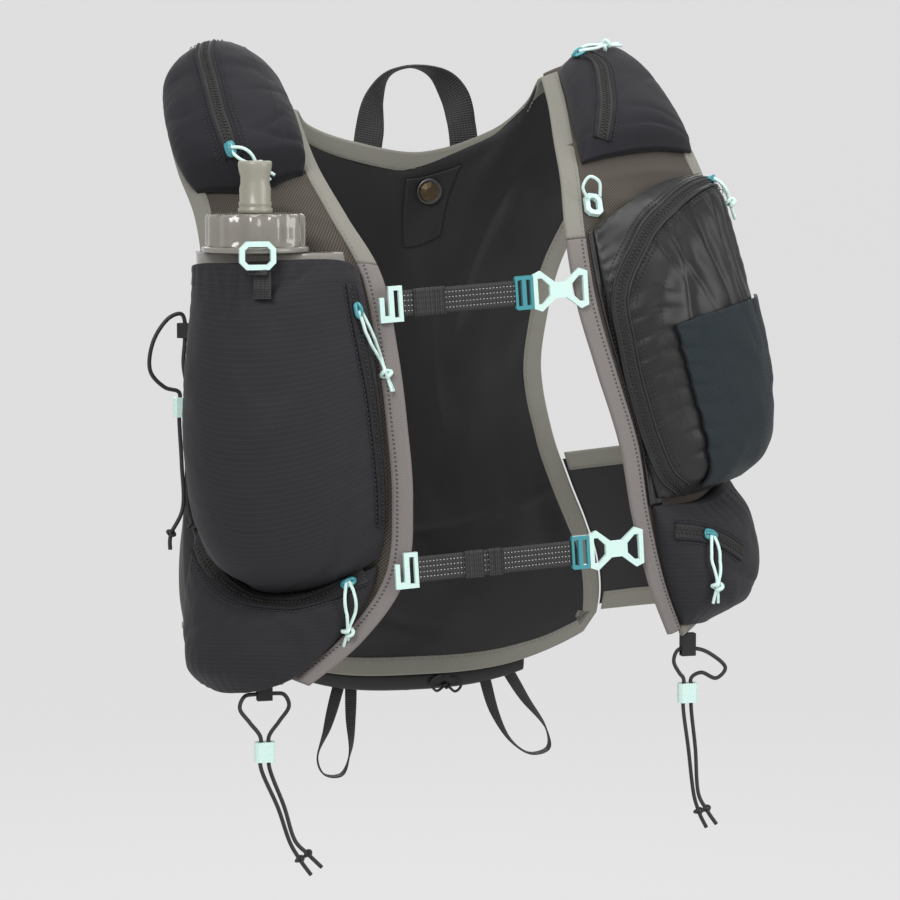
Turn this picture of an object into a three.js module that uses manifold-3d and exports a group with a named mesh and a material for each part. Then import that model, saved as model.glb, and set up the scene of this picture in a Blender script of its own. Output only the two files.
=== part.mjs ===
// Running hydration vest, in millimetres, +Z up, wearer facing -Y, +X at the wearer's left.
// The origin lies midway between the two shoulders, at the height where the straps rest.
import * as THREE from 'three';
import Module from 'manifold-3d';
import { mergeVertices } from 'three/addons/utils/BufferGeometryUtils.js';

// Driving sizes of the whole vest
const HALF_WIDTH = 185;
const CHEST_REACH = 160;
const BACK_REACH = 50;
const BODY_HEIGHT = 390;

// Cloth, edge tape and webbing
const CLOTH = 2.4;
const POCKET_WALL = 1.6;
const TAPE_WIDTH = 12.5;
const TAPE_THICK = 3.4;
const RAIL_WIDTH = 12.5;
const RAIL_THICK = 4.2;
const SEAM_EDGE = 1.6;
const WEBBING_WIDTH = 15;
const WEBBING_THICK = 1.8;
const HAUL_WIDTH = 19;
const HAUL_THICK = 2.2;
const POLE_WIDTH = 8;
const POLE_THICK = 1.2;

// How far the stuffed pockets stand off the cloth under them
const SHOULDER_LEFT_HIGH = 38;
const SHOULDER_RIGHT_HIGH = 15;
const BOTTLE_HIGH = 56;
const LOWER_LEFT_HIGH = 33;
const LOWER_RIGHT_HIGH = 29;
const MAIN_HIGH = 35;
const REAR_HIGH = 52;
const REAR_SAG = 36;

// Zips, cords and their fittings
const ZIP_WIDTH = 9;
const ZIP_THICK = 1.6;
const ZIP_SINK = 2;
const SLIDER_WIDTH = 7;
const SLIDER_LONG = 10;
const SLIDER_THICK = 4;
const PULL_CORD = 2;
const CINCH_CORD = 2.5;
const LOCK_WIDTH = 12;
const LOCK_HIGH = 12;
const LOCK_THICK = 7;
const TAB_WIDTH = 9;
const TAB_LONG = 14;
const TAB_THICK = 5.2;
const TAB_WALL = 1;

// Buckles of the two chest straps
const PLATE_THICK = 3;
const HOOK_LONG = 14;
const HOOK_TALL = 21;
const FRAME_LONG = 11;
const FRAME_TALL = 20;
const CROSS_LONG = 34;
const CROSS_TALL = 24;
const BAR = 3;

// Soft flask
const COLLAR_RADIUS = 29;
const COLLAR_HIGH = 22;
const FLANGE_RADIUS = 31;
const FLANGE_HIGH = 3;
const NOZZLE_RADIUS = 10;
const NOZZLE_HIGH = 30;

// Small trim
const CLIP_LONG = 15;
const CLIP_WIDE = 11;
const SNAP_RADIUS = 6.5;
const SNAP_HIGH = 3;

// Clearances
const GAP = 0.3;
const SEAT = 0.85;
const TINY_FACET = 0.14;

const X = new THREE.Vector3(1, 0, 0);
const Y = new THREE.Vector3(0, 1, 0);
const Z = new THREE.Vector3(0, 0, 1);

// Small vector helpers
const vec = (x, y, z) => new THREE.Vector3(x, y, z);
const mix = (a, b, t) => a.clone().lerp(b, t);
const clamp = (value, low, high) => Math.min(high, Math.max(low, value));
const range = (count) => Array.from({ length: count + 1 }, (_, i) => i / count);

// A smooth value of one column of a table whose rows are sorted by their 'at'
function columnAt(rows, key, at) {
  const last = rows.length - 1;
  const place = clamp(at, rows[0].at, rows[last].at);
  let i = 0;
  while (i < last - 1 && rows[i + 1].at < place) i += 1;
  const slope = (k) => {
    const low = rows[Math.max(k - 1, 0)];
    const high = rows[Math.min(k + 1, last)];
    return (high[key] - low[key]) / (high.at - low.at);
  };
  const step = rows[i + 1].at - rows[i].at;
  const t = (place - rows[i].at) / step;
  const t2 = t * t;
  const t3 = t2 * t;
  return (2 * t3 - 3 * t2 + 1) * rows[i][key]
    + (t3 - 2 * t2 + t) * step * slope(i)
    + (3 * t2 - 2 * t3) * rows[i + 1][key]
    + (t3 - t2) * step * slope(i + 1);
}

// Height of a stuffed pocket across its width, 1 at the fullest place
function dome(s, rise, fall) {
  const full = rise / (rise + fall);
  const shape = (k) => Math.pow(clamp(k, 0, 1), rise) * Math.pow(clamp(1 - k, 0, 1), fall);
  return shape(s) / shape(full);
}

// Front panels. Each row is one section, from the shoulder (at 0) down to the tip (at 1).
// in... is the edge along the opening, out... the armhole edge: x as a share of HALF_WIDTH,
// y forward as a share of CHEST_REACH, z down as a share of BODY_HEIGHT, bow of CHEST_REACH.
const LEFT_PANEL = [
  { at: 0.0, inX: -0.486, inY: 0.0, inZ: 0.049, outX: -0.908, outY: -0.138, outZ: 0.038, bow: 0.05 },
  { at: 0.1, inX: -0.497, inY: 0.238, inZ: 0.1, outX: -0.935, outY: 0.05, outZ: 0.092, bow: 0.055 },
  { at: 0.2, inX: -0.497, inY: 0.469, inZ: 0.151, outX: -0.94, outY: 0.275, outZ: 0.154, bow: 0.06 },
  { at: 0.3, inX: -0.459, inY: 0.713, inZ: 0.22, outX: -0.919, outY: 0.463, outZ: 0.22, bow: 0.065 },
  { at: 0.4, inX: -0.389, inY: 0.888, inZ: 0.303, outX: -0.908, outY: 0.53, outZ: 0.303, bow: 0.07 },
  { at: 0.5, inX: -0.351, inY: 0.95, inZ: 0.415, outX: -0.914, outY: 0.513, outZ: 0.41, bow: 0.08 },
  { at: 0.6, inX: -0.327, inY: 0.98, inZ: 0.528, outX: -0.924, outY: 0.48, outZ: 0.52, bow: 0.085 },
  { at: 0.7, inX: -0.311, inY: 0.988, inZ: 0.641, outX: -0.935, outY: 0.444, outZ: 0.631, bow: 0.085 },
  { at: 0.8, inX: -0.33, inY: 0.97, inZ: 0.759, outX: -0.94, outY: 0.413, outZ: 0.738, bow: 0.08 },
  { at: 0.9, inX: -0.465, inY: 0.93, inZ: 0.856, outX: -0.93, outY: 0.406, outZ: 0.826, bow: 0.06 },
  { at: 1.0, inX: -0.665, inY: 0.888, inZ: 0.933, outX: -0.892, outY: 0.438, outZ: 0.897, bow: 0.03 },
];
const RIGHT_PANEL = [
  { at: 0.0, inX: 0.378, inY: 0.0, inZ: -0.005, outX: 0.784, outY: -0.156, outZ: -0.026, bow: 0.05 },
  { at: 0.1, inX: 0.34, inY: 0.244, inZ: 0.046, outX: 0.816, outY: 0.05, outZ: 0.026, bow: 0.055 },
  { at: 0.2, inX: 0.297, inY: 0.475, inZ: 0.105, outX: 0.832, outY: 0.281, outZ: 0.103, bow: 0.06 },
  { at: 0.3, inX: 0.26, inY: 0.694, inZ: 0.167, outX: 0.849, outY: 0.45, outZ: 0.174, bow: 0.065 },
  { at: 0.4, inX: 0.232, inY: 0.856, inZ: 0.244, outX: 0.87, outY: 0.519, outZ: 0.251, bow: 0.07 },
  { at: 0.5, inX: 0.254, inY: 0.925, inZ: 0.351, outX: 0.892, outY: 0.513, outZ: 0.354, bow: 0.08 },
  { at: 0.6, inX: 0.319, inY: 0.944, inZ: 0.456, outX: 0.908, outY: 0.48, outZ: 0.456, bow: 0.08 },
  { at: 0.7, inX: 0.395, inY: 0.956, inZ: 0.569, outX: 0.919, outY: 0.444, outZ: 0.564, bow: 0.08 },
  { at: 0.8, inX: 0.438, inY: 0.963, inZ: 0.679, outX: 0.924, outY: 0.413, outZ: 0.672, bow: 0.07 },
  { at: 0.9, inX: 0.503, inY: 0.95, inZ: 0.787, outX: 0.914, outY: 0.406, outZ: 0.774, bow: 0.055 },
  { at: 1.0, inX: 0.6, inY: 0.9, inZ: 0.885, outX: 0.87, outY: 0.438, outZ: 0.856, bow: 0.03 },
];

// A surface is a function of two shares that gives a point. Its normal comes from its slopes.
function normalAt(surface, u, v, outward) {
  const step = 0.004;
  const u0 = clamp(u, step, 1 - step);
  const v0 = clamp(v, step, 1 - step);
  const across = surface(u0 + step, v0).sub(surface(u0 - step, v0));
  const along = surface(u0, v0 + step).sub(surface(u0, v0 - step));
  return across.cross(along).normalize().multiplyScalar(outward);
}

function panelSurface(rows, outward) {
  const flat = (u, at) => {
    const near = vec(
      columnAt(rows, 'inX', at) * HALF_WIDTH,
      -columnAt(rows, 'inY', at) * CHEST_REACH,
      -columnAt(rows, 'inZ', at) * BODY_HEIGHT,
    );
    const far = vec(
      columnAt(rows, 'outX', at) * HALF_WIDTH,
      -columnAt(rows, 'outY', at) * CHEST_REACH,
      -columnAt(rows, 'outZ', at) * BODY_HEIGHT,
    );
    return near.lerp(far, u);
  };
  return (u, at) => {
    const bow = columnAt(rows, 'bow', at) * CHEST_REACH * 4 * u * (1 - u);
    return flat(u, at).addScaledVector(normalAt(flat, 0.5, at, outward), bow);
  };
}

// Back panel. Each row is one level: the left and right edges, how far back, and the wrap
// forward at the edges, as shares of HALF_WIDTH and BACK_REACH; at is the share of BODY_HEIGHT.
const BACK_LEVELS = [
  { at: -0.03, left: -0.908, right: 0.784, back: 0.68, wrap: 0.28 },
  { at: 0.103, left: -0.854, right: 0.735, back: 0.72, wrap: 0.28 },
  { at: 0.205, left: -0.714, right: 0.627, back: 0.8, wrap: 0.2 },
  { at: 0.308, left: -0.573, right: 0.524, back: 0.88, wrap: 0.12 },
  { at: 0.41, left: -0.497, right: 0.476, back: 0.96, wrap: 0.12 },
  { at: 0.492, left: -0.476, right: 0.459, back: 1.0, wrap: 0.16 },
  { at: 0.595, left: -0.503, right: 0.497, back: 0.96, wrap: 0.16 },
  { at: 0.68, left: -0.562, right: 0.557, back: 0.92, wrap: 0.16 },
  { at: 0.749, left: -0.611, right: 0.611, back: 0.88, wrap: 0.2 },
  { at: 0.815, left: -0.649, right: 0.649, back: 0.86, wrap: 0.26 },
  { at: 0.885, left: -0.657, right: 0.657, back: 0.88, wrap: 0.28 },
  { at: 1.01, left: -0.605, right: 0.605, back: 0.94, wrap: 0.2 },
];
// Neckline between the two straps: at runs from the left strap to the right one.
const NECK_CORNER = 0.54;
const NECKLINE = [
  { at: -0.54, x: -0.486, y: 0.0, z: 0.049 },
  { at: -0.42, x: -0.42, y: 0.34, z: 0.078 },
  { at: -0.25, x: -0.25, y: 0.54, z: 0.105 },
  { at: 0.0, x: 0.0, y: 0.66, z: 0.122 },
  { at: 0.25, x: 0.25, y: 0.54, z: 0.086 },
  { at: 0.42, x: 0.36, y: 0.3, z: 0.038 },
  { at: 0.54, x: 0.378, y: 0.0, z: -0.005 },
];
const HEM_RISE = 0.077;
const HEM_POWER = 3;
const SHOULDER_BLEND = 0.2;
const SHOULDER_POWER = 2.2;

function topEdge(u) {
  if (Math.abs(u) < NECK_CORNER) {
    return vec(
      columnAt(NECKLINE, 'x', u) * HALF_WIDTH,
      columnAt(NECKLINE, 'y', u) * BACK_REACH,
      -columnAt(NECKLINE, 'z', u) * BODY_HEIGHT,
    );
  }
  const share = (Math.abs(u) - NECK_CORNER) / (1 - NECK_CORNER);
  return (u < 0 ? leftPanel : rightPanel)(share, 0);
}

// u runs from 0 at the left edge to 1 at the right one, v from the top edge to the hem
function backSurface(u, v) {
  const side = 2 * u - 1;
  const top = topEdge(side);
  const hem = -BODY_HEIGHT * (1.005 - HEM_RISE * Math.pow(Math.abs(side), HEM_POWER));
  const z = top.z + v * (hem - top.z);
  const level = -z / BODY_HEIGHT;
  const left = columnAt(BACK_LEVELS, 'left', level) * HALF_WIDTH;
  const right = columnAt(BACK_LEVELS, 'right', level) * HALF_WIDTH;
  const wrap = columnAt(BACK_LEVELS, 'wrap', level) * side * side;
  const body = vec(
    left + (right - left) * u,
    (columnAt(BACK_LEVELS, 'back', level) - wrap) * BACK_REACH,
    z,
  );
  const share = 1 - Math.pow(1 - clamp(v / SHOULDER_BLEND, 0, 1), SHOULDER_POWER);
  return vec(top.x + (body.x - top.x) * share, top.y + (body.y - top.y) * share, z);
}

const leftPanel = panelSurface(LEFT_PANEL, 1);
const rightPanel = panelSurface(RIGHT_PANEL, -1);

// Side wings: sheets that swing round the ribs from the back panel's edge to the front panel's.
// backTop and backLow are places down the back panel's edge, frontTop one down the front panel's.
const WING = { backTop: 0.69, backLow: 0.972, frontTop: 0.71, bulge: 24 };

function wingSurface(backU, panel, side) {
  return (u, v) => {
    const rear = backSurface(backU, WING.backTop + (WING.backLow - WING.backTop) * v);
    const front = panel(1, WING.frontTop + (1 - WING.frontTop) * v);
    const swing = WING.bulge * 4 * u * (1 - u);
    return rear.lerp(front, u).add(vec(side * swing * 0.8, swing * 0.45, 0));
  };
}
const leftWing = wingSurface(0, leftPanel, -1);
const rightWing = wingSurface(1, rightPanel, 1);

// Solids from grids and rings of points

function closedSolid(points, faces) {
  const flat = points.flatMap((p) => [p.x, p.y, p.z]);
  let volume = 0;
  for (const [a, b, c] of faces) {
    volume += points[a].dot(points[b].clone().cross(points[c]));
  }
  const turned = volume < 0 ? faces.map(([a, b, c]) => [a, c, b]) : faces;
  const geometry = new THREE.BufferGeometry();
  geometry.setAttribute('position', new THREE.Float32BufferAttribute(flat, 3));
  geometry.setIndex(turned.flat());
  return geometry;
}

// The solid between two functions of (s, t) on one grid
function between(upper, lower, columns, rows) {
  const points = [];
  for (const surface of [upper, lower]) {
    for (const t of rows) {
      for (const s of columns) points.push(surface(s, t));
    }
  }
  const wide = columns.length;
  const tall = rows.length;
  const faces = [];
  const id = (layer, i, j) => layer * wide * tall + j * wide + i;
  const quad = (a, b, c, d) => faces.push([a, b, c], [a, c, d]);
  for (let j = 0; j < tall - 1; j += 1) {
    for (let i = 0; i < wide - 1; i += 1) {
      quad(id(0, i, j), id(0, i + 1, j), id(0, i + 1, j + 1), id(0, i, j + 1));
      quad(id(1, i, j), id(1, i, j + 1), id(1, i + 1, j + 1), id(1, i + 1, j));
    }
  }
  for (let i = 0; i < wide - 1; i += 1) {
    quad(id(0, i, 0), id(1, i, 0), id(1, i + 1, 0), id(0, i + 1, 0));
    quad(id(0, i, tall - 1), id(0, i + 1, tall - 1), id(1, i + 1, tall - 1), id(1, i, tall - 1));
  }
  for (let j = 0; j < tall - 1; j += 1) {
    quad(id(0, 0, j), id(0, 0, j + 1), id(1, 0, j + 1), id(1, 0, j));
    quad(id(0, wide - 1, j), id(1, wide - 1, j), id(1, wide - 1, j + 1), id(0, wide - 1, j + 1));
  }
  return closedSolid(points, faces);
}

// A solid through rings of points, closed by flat ends or joined into a loop
function throughRings(rings, loop = false) {
  const count = rings[0].length;
  const points = rings.flat();
  const faces = [];
  const spans = loop ? rings.length : rings.length - 1;
  for (let j = 0; j < spans; j += 1) {
    const next = (j + 1) % rings.length;
    for (let i = 0; i < count; i += 1) {
      const k = (i + 1) % count;
      faces.push([j * count + i, j * count + k, next * count + k]);
      faces.push([j * count + i, next * count + k, next * count + i]);
    }
  }
  if (!loop) {
    const end = (rings.length - 1) * count;
    for (let i = 1; i < count - 1; i += 1) {
      faces.push([0, i + 1, i]);
      faces.push([end, end + i, end + i + 1]);
    }
  }
  return closedSolid(points, faces);
}

// A flat band: each sample has a point on its edge, the way into the band and the face's normal
function band(samples, { from = 0, to, low, high }) {
  return throughRings(samples.map(({ edge, into, normal }) => {
    const corner = (across, up) => edge.clone()
      .addScaledVector(into, across)
      .addScaledVector(normal, up);
    return [corner(from, low), corner(to, low), corner(to, high), corner(from, high)];
  }));
}

// A strip along a line of points, with its width across a given direction
function ribbon(points, acrossAt, width, thick, count, loop = false) {
  const curve = new THREE.CatmullRomCurve3(points, loop, 'centripetal');
  const places = loop ? range(count).slice(0, -1) : range(count);
  return throughRings(places.map((place) => {
    const centre = curve.getPointAt(place);
    const tangent = curve.getTangentAt(place);
    const across = acrossAt(place).clone();
    across.addScaledVector(tangent, -across.dot(tangent)).normalize();
    const up = tangent.clone().cross(across).normalize();
    const corner = (a, b) => centre.clone()
      .addScaledVector(across, a * width / 2)
      .addScaledVector(up, b * thick / 2);
    return [corner(-1, -1), corner(1, -1), corner(1, 1), corner(-1, 1)];
  }), loop);
}

// A round cord along chosen points
function cordTube(points, diameter, steps) {
  const section = new THREE.Shape();
  section.absarc(0, 0, diameter / 2, 0, 2 * Math.PI, false);
  return new THREE.ExtrudeGeometry(section, {
    steps,
    curveSegments: 4,
    bevelEnabled: false,
    extrudePath: new THREE.CatmullRomCurve3(points, false, 'centripetal'),
  });
}

// Solids cut by other solids
const wasm = await Module();
wasm.setup();

function toManifold(geometry) {
  const bare = geometry.clone();
  bare.deleteAttribute('normal');
  bare.deleteAttribute('uv');
  const merged = mergeVertices(bare, 1e-5);
  return new wasm.Manifold(new wasm.Mesh({
    numProp: 3,
    vertProperties: new Float32Array(merged.attributes.position.array),
    triVerts: new Uint32Array(merged.index.array),
  }));
}

function fromManifold(solid) {
  const mesh = solid.getMesh();
  const geometry = new THREE.BufferGeometry();
  geometry.setAttribute('position', new THREE.Float32BufferAttribute(mesh.vertProperties, 3));
  geometry.setIndex(Array.from(mesh.triVerts));
  return geometry;
}

// The largest piece that is left when the cutters are taken away, without its tiniest facets
function cut(geometry, ...cutters) {
  const whole = cutters.reduce(
    (solid, cutter) => solid.subtract(toManifold(cutter)),
    toManifold(geometry),
  );
  const pieces = whole.decompose().sort((a, b) => b.volume() - a.volume());
  return fromManifold(pieces[0].asOriginal().simplify(TINY_FACET));
}

function join(...geometries) {
  return fromManifold(geometries.map(toManifold).reduce((a, b) => a.add(b)));
}

// A point and its normal on a surface, raised by a height
function onSurface(surface, outward, u, v, high) {
  return surface(u, v).addScaledVector(normalAt(surface, u, v, outward), high);
}

// Cloth that crosses the shoulder turns over it squarely: its normal there points up
const CREST_SHARE = 0.06;
const CREST_FALL = 60;
function overCrest(surface, outward, u, v, high) {
  const onShoulder = surface(u, v).z > -CREST_FALL ? 1 : 0;
  const turn = onShoulder * clamp(1 - v / CREST_SHARE, 0, 1);
  const normal = normalAt(surface, u, v, outward).lerp(Z, turn).normalize();
  return surface(u, v).addScaledVector(normal, high);
}

// Materials, with the colours of the real cloth and plastics
const finish = (name, color, roughness, metalness = 0) => {
  const material = new THREE.MeshStandardMaterial({ color, roughness, metalness });
  material.name = name;
  return material;
};
const NAVY_CLOTH = finish('navy_cloth', 0x2a2b33, 0.75);
const BLACK_CLOTH = finish('black_cloth', 0x17171a, 0.6);
const STRAP_MESH = finish('strap_mesh', 0x4a4440, 0.9);
const STRETCH_MESH = finish('stretch_mesh', 0x1d2830, 0.85);
const OLIVE_TAPE = finish('olive_tape', 0x8a877b, 0.85);
const RAIL_TAPE = finish('rail_tape', 0x756d6d, 0.8);
const BLACK_WEBBING = finish('black_webbing', 0x1b1b1d, 0.8);
const MINT_PLASTIC = finish('mint_plastic', 0xbfe8dc, 0.4);
const TEAL_PLASTIC = finish('teal_plastic', 0x3f9aa0, 0.4);
const MINT_CORD = finish('mint_cord', 0xbfe8dc, 0.7);
const BLACK_CORD = finish('black_cord', 0x141416, 0.7);
const ZIP_TAPE = finish('zip_tape', 0x111113, 0.6);
const FLASK_FILM = finish('flask_film', 0x8c867c, 0.35);
const FLASK_COLLAR = finish('flask_collar', 0x55504a, 0.25);
const BRASS = finish('brass', 0xa08050, 0.35, 1);

const vest = new THREE.Group();

function add(name, geometry, material) {
  const mesh = new THREE.Mesh(geometry, material);
  mesh.name = name;
  vest.add(mesh);
  return mesh;
}

// Edge tapes and rails. A sample knows the edge, the way into the cloth and the outward normal.
const TAPE_LOW = -CLOTH - (TAPE_THICK - CLOTH) / 2;
const TAPE = { to: TAPE_WIDTH, low: TAPE_LOW, high: TAPE_LOW + TAPE_THICK };
const RAIL_LOW = -CLOTH - (RAIL_THICK - CLOTH) / 2;
const RAIL = { to: RAIL_WIDTH, low: RAIL_LOW, high: RAIL_LOW + RAIL_THICK };
const INWARD = { near: [1, 0], far: [-1, 0], top: [0, 1], low: [0, -1] };

function tapeSample(surface, outward, side, u, v) {
  const step = 0.02;
  const [du, dv] = INWARD[side];
  const edge = surface(u, v);
  const into = surface(u + du * step, v + dv * step).sub(edge).normalize();
  const normal = overCrest(surface, outward, u, v, 1).sub(edge).normalize();
  normal.addScaledVector(into, -normal.dot(into)).normalize();
  return { edge, into, normal };
}

function tapeRun(surface, outward, side, from, to, count) {
  return range(count).map((k) => {
    const place = from + (to - from) * k;
    const [u, v] = { near: [0, place], far: [1, place], top: [place, 0], low: [place, 1] }[side];
    return tapeSample(surface, outward, side, u, v);
  });
}

// Where two runs of tape meet at an angle, a middle sample turns the corner
function joinRuns(...runs) {
  const turn = (a, b) => {
    const into = mix(a.into, b.into, 0.5).normalize();
    const normal = mix(a.normal, b.normal, 0.5);
    normal.addScaledVector(into, -normal.dot(into)).normalize();
    return { edge: mix(a.edge, b.edge, 0.5), into, normal };
  };
  return runs.reduce((whole, run) => [...whole, turn(whole[whole.length - 1], run[0]), ...run]);
}

const RAIL_TOP = { left: 0.385, right: 0.41 };
const RAIL_END = 0.985;
const CORNER = 0.012;
const NECK_FROM = (1 - NECK_CORNER) / 2 + CORNER;
const SIDES = {
  left: { panel: leftPanel, panelOut: 1, wing: leftWing, wingOut: -1 },
  right: { panel: rightPanel, panelOut: -1, wing: rightWing, wingOut: 1 },
};

const neckTape = joinRuns(
  tapeRun(leftPanel, 1, 'near', RAIL_TOP.left, CORNER, 9),
  tapeRun(backSurface, 1, 'top', NECK_FROM, 1 - NECK_FROM, 14),
  tapeRun(rightPanel, -1, 'near', CORNER, RAIL_TOP.right, 9),
);
const backTape = joinRuns(
  tapeRun(backSurface, 1, 'near', CORNER, 1 - 2 * CORNER, 15),
  tapeRun(backSurface, 1, 'low', 2 * CORNER, 1 - 2 * CORNER, 10),
  tapeRun(backSurface, 1, 'far', 1 - 2 * CORNER, CORNER, 15),
);
for (const [name, side] of Object.entries(SIDES)) {
  side.armhole = joinRuns(
    tapeRun(side.panel, side.panelOut, 'far', CORNER, WING.frontTop - CORNER, 10),
    tapeRun(side.wing, side.wingOut, 'top', 1 - 2 * CORNER, 2 * CORNER, 6),
  );
  side.hem = joinRuns(
    tapeRun(side.panel, side.panelOut, 'low', 0.17, 1 - 4 * CORNER, 3),
    tapeRun(side.wing, side.wingOut, 'low', 1 - 2 * CORNER, 2 * CORNER, 6),
  );
  side.rail = tapeRun(side.panel, side.panelOut, 'near', RAIL_TOP[name] + 0.002, RAIL_END, 16);
}

// The band that a tape needs free in the cloth and pockets beside it
const room = (samples, shape, past = 1) => band(samples, {
  from: -past,
  to: shape.to + GAP,
  low: shape.low - GAP,
  high: shape.high + GAP,
});

add('neck_binding', band(neckTape, TAPE), OLIVE_TAPE);
add('back_binding', band(backTape, TAPE), OLIVE_TAPE);
for (const [name, side] of Object.entries(SIDES)) {
  add(`armhole_binding_${name}`, band(side.armhole, TAPE), OLIVE_TAPE);
  add(`hem_binding_${name}`, band(side.hem, TAPE), OLIVE_TAPE);
  add(`rail_${name}`, band(side.rail, RAIL), RAIL_TAPE);
}

// Panels and wings are thin sheets that end where their edge tapes begin.
// near, far, top and low give the width in millimetres that each edge leaves free.
const COVER = TAPE_WIDTH + 2.5 * GAP;

function sheet(surface, outward, columns, rows, { near, far, top, low }) {
  const step = 0.01;
  const speed = (u, v, du, dv) => surface(u, v).distanceTo(surface(u + du, v + dv)) / step;
  const place = (s, t) => {
    const v0 = top(s) / speed(s, 0, 0, step);
    const v1 = 1 - low(s) / speed(s, 1, 0, -step);
    const v = v0 + (v1 - v0) * t;
    const u0 = near(v) / speed(0, v, step, 0);
    const u1 = 1 - far(v) / speed(1, v, -step, 0);
    return [u0 + (u1 - u0) * s, v];
  };
  const face = (high) => (s, t) => overCrest(surface, outward, ...place(s, t), high);
  return between(face(0), face(-CLOTH), columns, rows);
}

// The free width past the end of a tape that turns away: a quarter circle
const turned = (past) => Math.max(GAP, Math.sqrt(Math.max(0, COVER ** 2 - Math.max(0, past) ** 2)));

const PANEL_ROWS = [...range(10).map((t) => t * 0.7), 0.71, 0.725, 0.745, 0.79, 0.86, 0.93, 1];
for (const [name, side] of Object.entries(SIDES)) {
  const panel = sheet(side.panel, side.panelOut, range(5), PANEL_ROWS, {
    near: () => COVER,
    far: (v) => turned((v - WING.frontTop + CORNER) * BODY_HEIGHT),
    top: () => GAP,
    low: () => COVER,
  });
  const wing = sheet(side.wing, side.wingOut, range(6), range(2), {
    near: () => TAPE_THICK,
    far: () => CLOTH + GAP,
    top: () => COVER,
    low: () => COVER,
  });
  const tapes = [room(side.armhole, TAPE), room(side.hem, TAPE)];
  add(`front_panel_${name}`, cut(
    panel,
    room(neckTape, TAPE),
    room(side.rail, RAIL),
    ...tapes,
  ), STRAP_MESH);
  add(`wing_${name}`, cut(wing, ...tapes), BLACK_CLOTH);
}
const NECK_SPAN = HALF_WIDTH * 0.85;
const BACK_COLUMNS = [
  0, 0.1, 0.18, 0.21, 0.24, 0.32, 0.41, 0.5, 0.59, 0.68, 0.76, 0.79, 0.82, 0.9, 1,
];
const backSheet = sheet(backSurface, 1, BACK_COLUMNS, range(10), {
  near: () => COVER,
  far: () => COVER,
  top: (u) => turned((Math.abs(2 * u - 1) - NECK_CORNER) * NECK_SPAN),
  low: () => COVER,
});
add('back_panel', cut(backSheet, room(neckTape, TAPE), room(backTape, TAPE)), BLACK_CLOTH);

// Stuffed pockets. A pocket's outline on the cloth under it is given by two tables:
// sides (at t: from and to across, high as a share of its full height) and
// ends (at s: top and low along). dome gives the bulge across.
function pocket(base, outward, full, { sides, ends, rise, fall, sag = 0 }) {
  const place = (s, t) => {
    const from = columnAt(sides, 'from', t);
    const to = columnAt(sides, 'to', t);
    const top = columnAt(ends, 'top', s);
    const low = columnAt(ends, 'low', s);
    return [from + (to - from) * s, top + (low - top) * t];
  };
  const height = (s, t) => {
    const level = columnAt(sides, 'high', t) * dome(s, rise, fall);
    return SEAM_EDGE + full * Math.max(0, level);
  };
  const face = (drop = 0) => (s, t) => {
    const high = height(s, t);
    const point = overCrest(base, outward, ...place(s, t), SEAT + Math.max(0.4, high - drop));
    return point.setZ(point.z - sag * clamp(t, 0, 1) ** 4 * clamp(2 * high / full, 0, 1));
  };
  const seat = (s, t) => overCrest(base, outward, ...place(s, t), SEAT);
  return { face, seat, place, height };
}

const shoulderLeft = pocket(leftPanel, 1, SHOULDER_LEFT_HIGH, {
  rise: 0.32,
  fall: 0.3,
  sides: [
    { at: 0, from: 0.22, to: 0.9, high: 0.3 },
    { at: 0.08, from: 0.2, to: 0.93, high: 0.9 },
    { at: 0.4, from: 0.16, to: 0.95, high: 1 },
    { at: 0.75, from: 0.14, to: 0.95, high: 0.9 },
    { at: 0.94, from: 0.15, to: 0.94, high: 0.66 },
    { at: 1, from: 0.17, to: 0.92, high: 0.15 },
  ],
  ends: [
    { at: 0, top: 0.03, low: 0.23 },
    { at: 0.5, top: 0.008, low: 0.275 },
    { at: 1, top: 0.02, low: 0.26 },
  ],
});
add('shoulder_pocket_left', cut(
  between(shoulderLeft.face(), shoulderLeft.seat, range(8), range(9)),
  room(neckTape, TAPE),
  room(SIDES.left.armhole, TAPE),
), NAVY_CLOTH);

const shoulderRight = pocket(rightPanel, -1, SHOULDER_RIGHT_HIGH, {
  rise: 0.35,
  fall: 0.45,
  sides: [
    { at: 0, from: 0.16, to: 0.76, high: 0.3 },
    { at: 0.1, from: 0.14, to: 0.8, high: 0.8 },
    { at: 0.5, from: 0.13, to: 0.88, high: 1 },
    { at: 0.9, from: 0.13, to: 0.94, high: 0.85 },
    { at: 1, from: 0.13, to: 0.94, high: 0.2 },
  ],
  ends: [
    { at: 0, top: 0.03, low: 0.275 },
    { at: 0.5, top: 0.008, low: 0.26 },
    { at: 1, top: 0.02, low: 0.24 },
  ],
});
add('shoulder_pocket_right', cut(
  between(shoulderRight.face(), shoulderRight.seat, range(8), range(8)),
  room(neckTape, TAPE),
  room(SIDES.right.armhole, TAPE),
), NAVY_CLOTH);

// The bottle pocket is a thin shell, open at its mouth, with the soft flask inside
const bottle = pocket(leftPanel, 1, BOTTLE_HIGH, {
  rise: 0.6,
  fall: 0.42,
  sides: [
    { at: 0, from: 0.115, to: 0.9, high: 0.92 },
    { at: 0.15, from: 0.11, to: 0.9, high: 0.97 },
    { at: 0.45, from: 0.105, to: 0.9, high: 1 },
    { at: 0.75, from: 0.105, to: 0.88, high: 0.92 },
    { at: 0.92, from: 0.11, to: 0.86, high: 0.66 },
    { at: 1, from: 0.12, to: 0.84, high: 0.2 },
  ],
  ends: [
    { at: 0, top: 0.4, low: 0.775 },
    { at: 0.3, top: 0.405, low: 0.825 },
    { at: 0.6, top: 0.405, low: 0.84 },
    { at: 0.85, top: 0.4, low: 0.8 },
    { at: 1, top: 0.4, low: 0.735 },
  ],
});
const BOTTLE_COLUMNS = range(8);
const BOTTLE_ROWS = range(10);
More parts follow.
